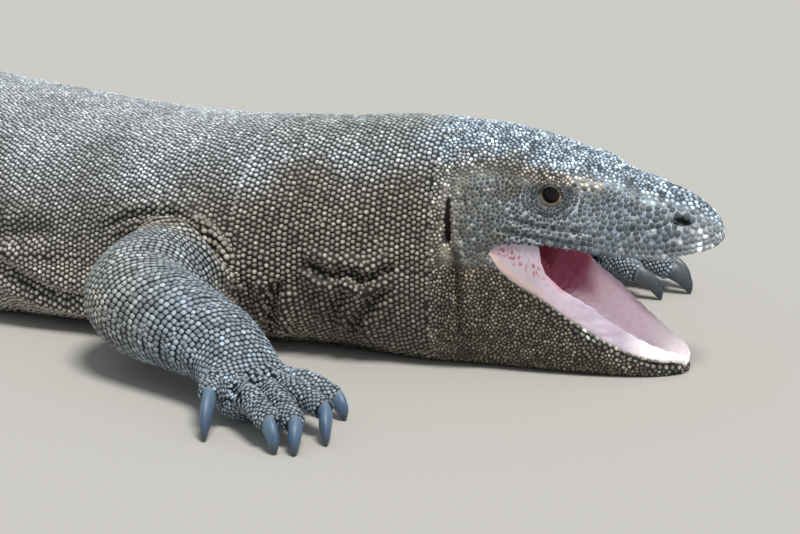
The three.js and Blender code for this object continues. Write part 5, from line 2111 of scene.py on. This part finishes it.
@dataclass
class Coat:
    """All the scales, laid by part of the body."""

    animal: Animal
    ground: Ground
    taken: list[Array] = field(default_factory=list)

    def build(self) -> list[Piece]:
        """Lay and join the scales of every part; each leaves room for those before it."""
        head = HeadScales(self.animal.skull).lay(self.ground)
        self.taken.append(head.roots)
        pieces = [head.build("coat_head")]
        log.info("coat_head: %d scales", len(head.roots))
        pieces += self._trunk()
        for foot in self.animal.feet:
            pieces.append(self._foot(foot))
            log.info(pieces[-1].name)
        pieces.append(self._folds())
        return pieces

    def _folds(self) -> Piece:
        """Scatter small scales where the rows leave the skin bare, as in folds and armpits."""
        ground = self.ground
        draw = np.random.default_rng(SEED + 5)
        points = scattered(ground.points[ground.triangles], 90000, draw)
        at = HEAD.read(points)[0]
        points = points[(points[:, 2] > 1.5) & (at > -1500) & (at < -NAPE)]
        points = points[clear_of(points, np.vstack(self.taken), 3.0)]
        points = points[thinned(points, np.full(len(points), 3.1))]
        roots, ups, _ = ground.snap(points)
        count = len(roots)
        lies = np.tile(-HEAD.forward, (count, 1))
        at, left, height = HEAD.read(roots)
        turn = np.arctan2(height - 60, left)
        even = np.linspace(0, 1, count)
        unwrap = np.stack([np.interp(at, np.sort(at), even), np.interp(turn, np.sort(turn), even)], axis=1)
        size = np.full(count, 1.75)
        log.info("coat_folds: %d scales", count)
        scales = Scales(Bead.DOME, roots, ups, lies, size, size, np.ones(count), unwrap)
        return scales.build("coat_folds")

    def _free(self, scales: Scales, gap: float) -> Scales:
        """The scales that aren't too near those that are laid already."""
        taken = np.vstack(self.taken)
        low, high = scales.roots.min(axis=0) - gap, scales.roots.max(axis=0) + gap
        taken = taken[((taken > low) & (taken < high)).all(axis=1)]
        if not len(taken):
            return scales
        return scales.kept(clear_of(scales.roots, taken, gap))

    def _trunk(self) -> list[Piece]:
        """The rows of neck, trunk and tail."""
        lengths = [
            ("coat_neck", NAPE + 1, 150, 3.7, 4.3, 1.15),
            ("coat_chest", 150, 330, 3.6, 4.1, 1.1),
            ("coat_belly_front", 330, 560, 3.6, 4.2, 1.1),
            ("coat_belly_rear", 560, 850, 4.3, 4.9, 1.2),
            ("coat_pelvis", 850, 1100, 4.6, 5.0, 1.2),
            ("coat_tail_front", 1100, 1600, 5.6, 4.8, 1.2),
            ("coat_tail_rear", 1600, 2526, 6.0, 4.0, 0.9),
        ]
        out = []
        for name, start, end, step, across, tall in lengths:
            at = np.arange(start, end, step)
            rows = Rows(self.animal.trunk.surface, at, step, across, Bead.DOME, tall, 2.2)
            scales = rows.lay(self.ground)
            covered = np.zeros(len(scales.roots), dtype=bool)
            for foot in self.animal.feet:
                covered |= foot.limb.covers(scales.roots, 3.0)
            scales = self._free(scales.kept(~covered & (HEAD.read(scales.roots)[0] < -NAPE + 2.5)), 2.4)
            self.taken.append(scales.roots)
            out.append(scales.build(name))
            log.info("%s: %d scales", name, len(scales.roots))
        return out

    def _foot(self, foot: Foot) -> Piece:
        """Lay the rows of a limb, then rings of scales round each of its digits.

        Args:
            foot: The limb with its digits.

        Returns:
            The scales as one piece.
        """
        limb = foot.limb
        spans = ((0.08, 0.24, 3.9), (0.24, 0.6, 4.6), (0.6, 0.78, 4.0), (0.78, 1.0, 3.2))
        t = np.concatenate([limb.course.spaced(*span) for span in spans])
        t = np.concatenate([t, 1 + np.arange(0, 9) * 0.0105])
        gaps = np.interp(t, [0.1, 0.26, 0.55, 0.66, 0.8, 1.1], [4.0, 4.7, 4.7, 4.1, 3.4, 3.3])
        rows = Rows(limb.surface, t, gaps, np.interp(t, [0.1, 0.3, 0.6, 0.8, 1.1], [4.3, 5.2, 4.9, 4.2, 3.9]),
                    Bead.DOME, 1.2, 1.4, 96, 0.9, 0.04, 0.3)
        scales = rows.lay(self.ground)
        hidden = self.animal.trunk.covers(scales.roots, 1.5)
        for digit in foot.digits:
            hidden |= digit.covers(scales.roots, 2.0)
        parts = [self._free(scales.kept(~hidden), 2.8)]
        self.taken.append(parts[0].roots)
        for number, digit in enumerate(foot.digits):
            t = digit.course.spaced(0.02, 0.497, 2.6)
            rows = Rows(digit.surface, t, 2.75, 4.6, Bead.DOME, 0.9, 1.2, 48, 0.9, 0.0, 0.5)
            scales = rows.lay(self.ground)
            hidden = limb.covers(scales.roots, 2.0)
            for other in foot.digits[:number] + foot.digits[number + 1 :]:
                hidden |= other.covers(scales.roots, 1.0)
            scales.unwrap[:, 0] = 1.2 + 0.1 * number + 0.08 * scales.unwrap[:, 0] / 0.5
            parts.append(self._free(scales.kept(~hidden), 1.9))
            self.taken.append(parts[-1].roots)
        return together(parts).build(f"coat_{foot.name}")


# ---- The scene ----

TRUNK_NODES = ("head", "lower_jaw", "neck", "chest", "belly_front", "belly_rear", "pelvis",
               "tail_1", "tail_2", "tail_3", "tail_4", "tail_5", "tail_6")
LIMB_NODES = tuple(f"{part}_{side}" for side in ("right", "left")
                   for part in ("upper_arm", "forearm", "hand", "thigh", "shank", "foot"))


def settle(piece: Piece, slot: str, *nodes: str) -> None:
    """Put a piece on the body, and let it stand for nodes."""
    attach(piece, "root")
    if nodes:
        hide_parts(*nodes)
    log.info("%s: %d faces", piece.name, len(piece.data.polygons))


@dataclass
class Studio:
    """Floor, lights and camera."""

    target: tuple = (0.5854, -0.0673, 0.0865)
    azimuth: float = 34.0
    elevation: float = 16.0
    distance: float = 2.5
    lens: float = 151.3

    def floor(self) -> None:
        """Lay a wide floor just under the animal."""
        corners = np.array([[-60, -60, 0], [60, -60, 0], [60, 60, 0], [-60, 60, 0]]) / MM
        floor = new_piece("floor", corners, np.array([[0, 1, 2, 3]]), smooth=False)
        StudioFloor().dress(floor)

    def lights(self) -> None:
        """A soft high sun from behind the camera's left, and an even pale surround."""
        sun = bpy.data.lights.new("key", "SUN")
        sun.energy = 3.0
        sun.angle = np.radians(20)
        sun.color = (1.0, 0.98, 0.95)
        key = linked("key", sun)
        key.rotation_euler = Vector((-0.5, 0.3, -1.3)).to_track_quat("-Z", "Y").to_euler()
        world = bpy.data.worlds.new("surround")
        world.use_nodes = True
        world.node_tree.nodes["Background"].inputs["Color"].default_value = (0.86, 0.93, 1.0, 1.0)
        world.node_tree.nodes["Background"].inputs["Strength"].default_value = 0.42
        bpy.context.scene.world = world
        bpy.context.scene.view_settings.view_transform = "Standard"

    def camera(self) -> None:
        """Place the camera on a sphere round its target, level and looking at it."""
        turn, rise = np.radians(self.azimuth), np.radians(self.elevation)
        way = Vector((np.cos(rise) * np.sin(turn), -np.cos(rise) * np.cos(turn), np.sin(rise)))
        lens = bpy.data.cameras.new("camera")
        lens.lens = self.lens
        lens.sensor_width = 36.0
        lens.clip_end = 400.0
        camera = linked("camera", lens)
        camera.location = Vector(self.target) + way * self.distance
        camera.rotation_euler = (-way).to_track_quat("-Z", "Y").to_euler()
        bpy.context.scene.camera = camera


def main() -> None:
    """Build the studio and the animal."""
    logging.basicConfig(level=logging.INFO, format="%(asctime)s %(message)s", force=True)
    studio = Studio()
    studio.floor()
    studio.lights()
    studio.camera()
    animal = Animal()
    skin = Skin(animal).build()
    settle(skin, "body_skin", *TRUNK_NODES, *LIMB_NODES)
    ground = Ground([skin])
    eyes = [Eye(animal.skull, side) for side in (-1, 1)]
    lids = []
    for eye in eyes:
        ball = eye.ball()
        EyeGloss().dress(ball)
        settle(ball, "eye", f"eye_{side_name(eye.side)}")
        lids.append(eye.lids(ground))
        settle(lids[-1], "head_skin")
    for side in (-1, 1):
        drum = ear_drum(side)
        EarSkin().dress(drum)
        settle(drum, "ear_hollow", f"ear_{side_name(side)}")
    mouth = Mouth(animal.skull)
    lining, palate, throat = mouth.floor(), mouth.palate(), mouth.throat()
    Membrane().dress(lining, palate, throat)
    settle(lining, "mouth_lining", "mouth_floor", "cheek_web_right", "cheek_web_left")
    settle(palate, "mouth_lining", "palate")
    settle(throat, "throat", "throat_lining")
    for foot in animal.feet:
        horns = [claw(digit, f"horn_{foot.claw}_{n + 1}") for n, digit in enumerate(foot.digits)]
        # The far hand's claws get a darker horn.
        horn = Horn("claw_horn_worn", "4c4f52", "3a3d41") if foot.name == "arm_left" else Horn()
        horn.dress(*horns)
        for n, horn in enumerate(horns):
            settle(horn, "claw", f"{foot.claw}_{n + 1}")
    coat = Coat(animal, Ground([skin, *lids])).build()
    for piece in coat:
        settle(piece, "body_skin")
    Hide().dress(skin, *lids, *coat)


if __name__ == "__main__":
    main()
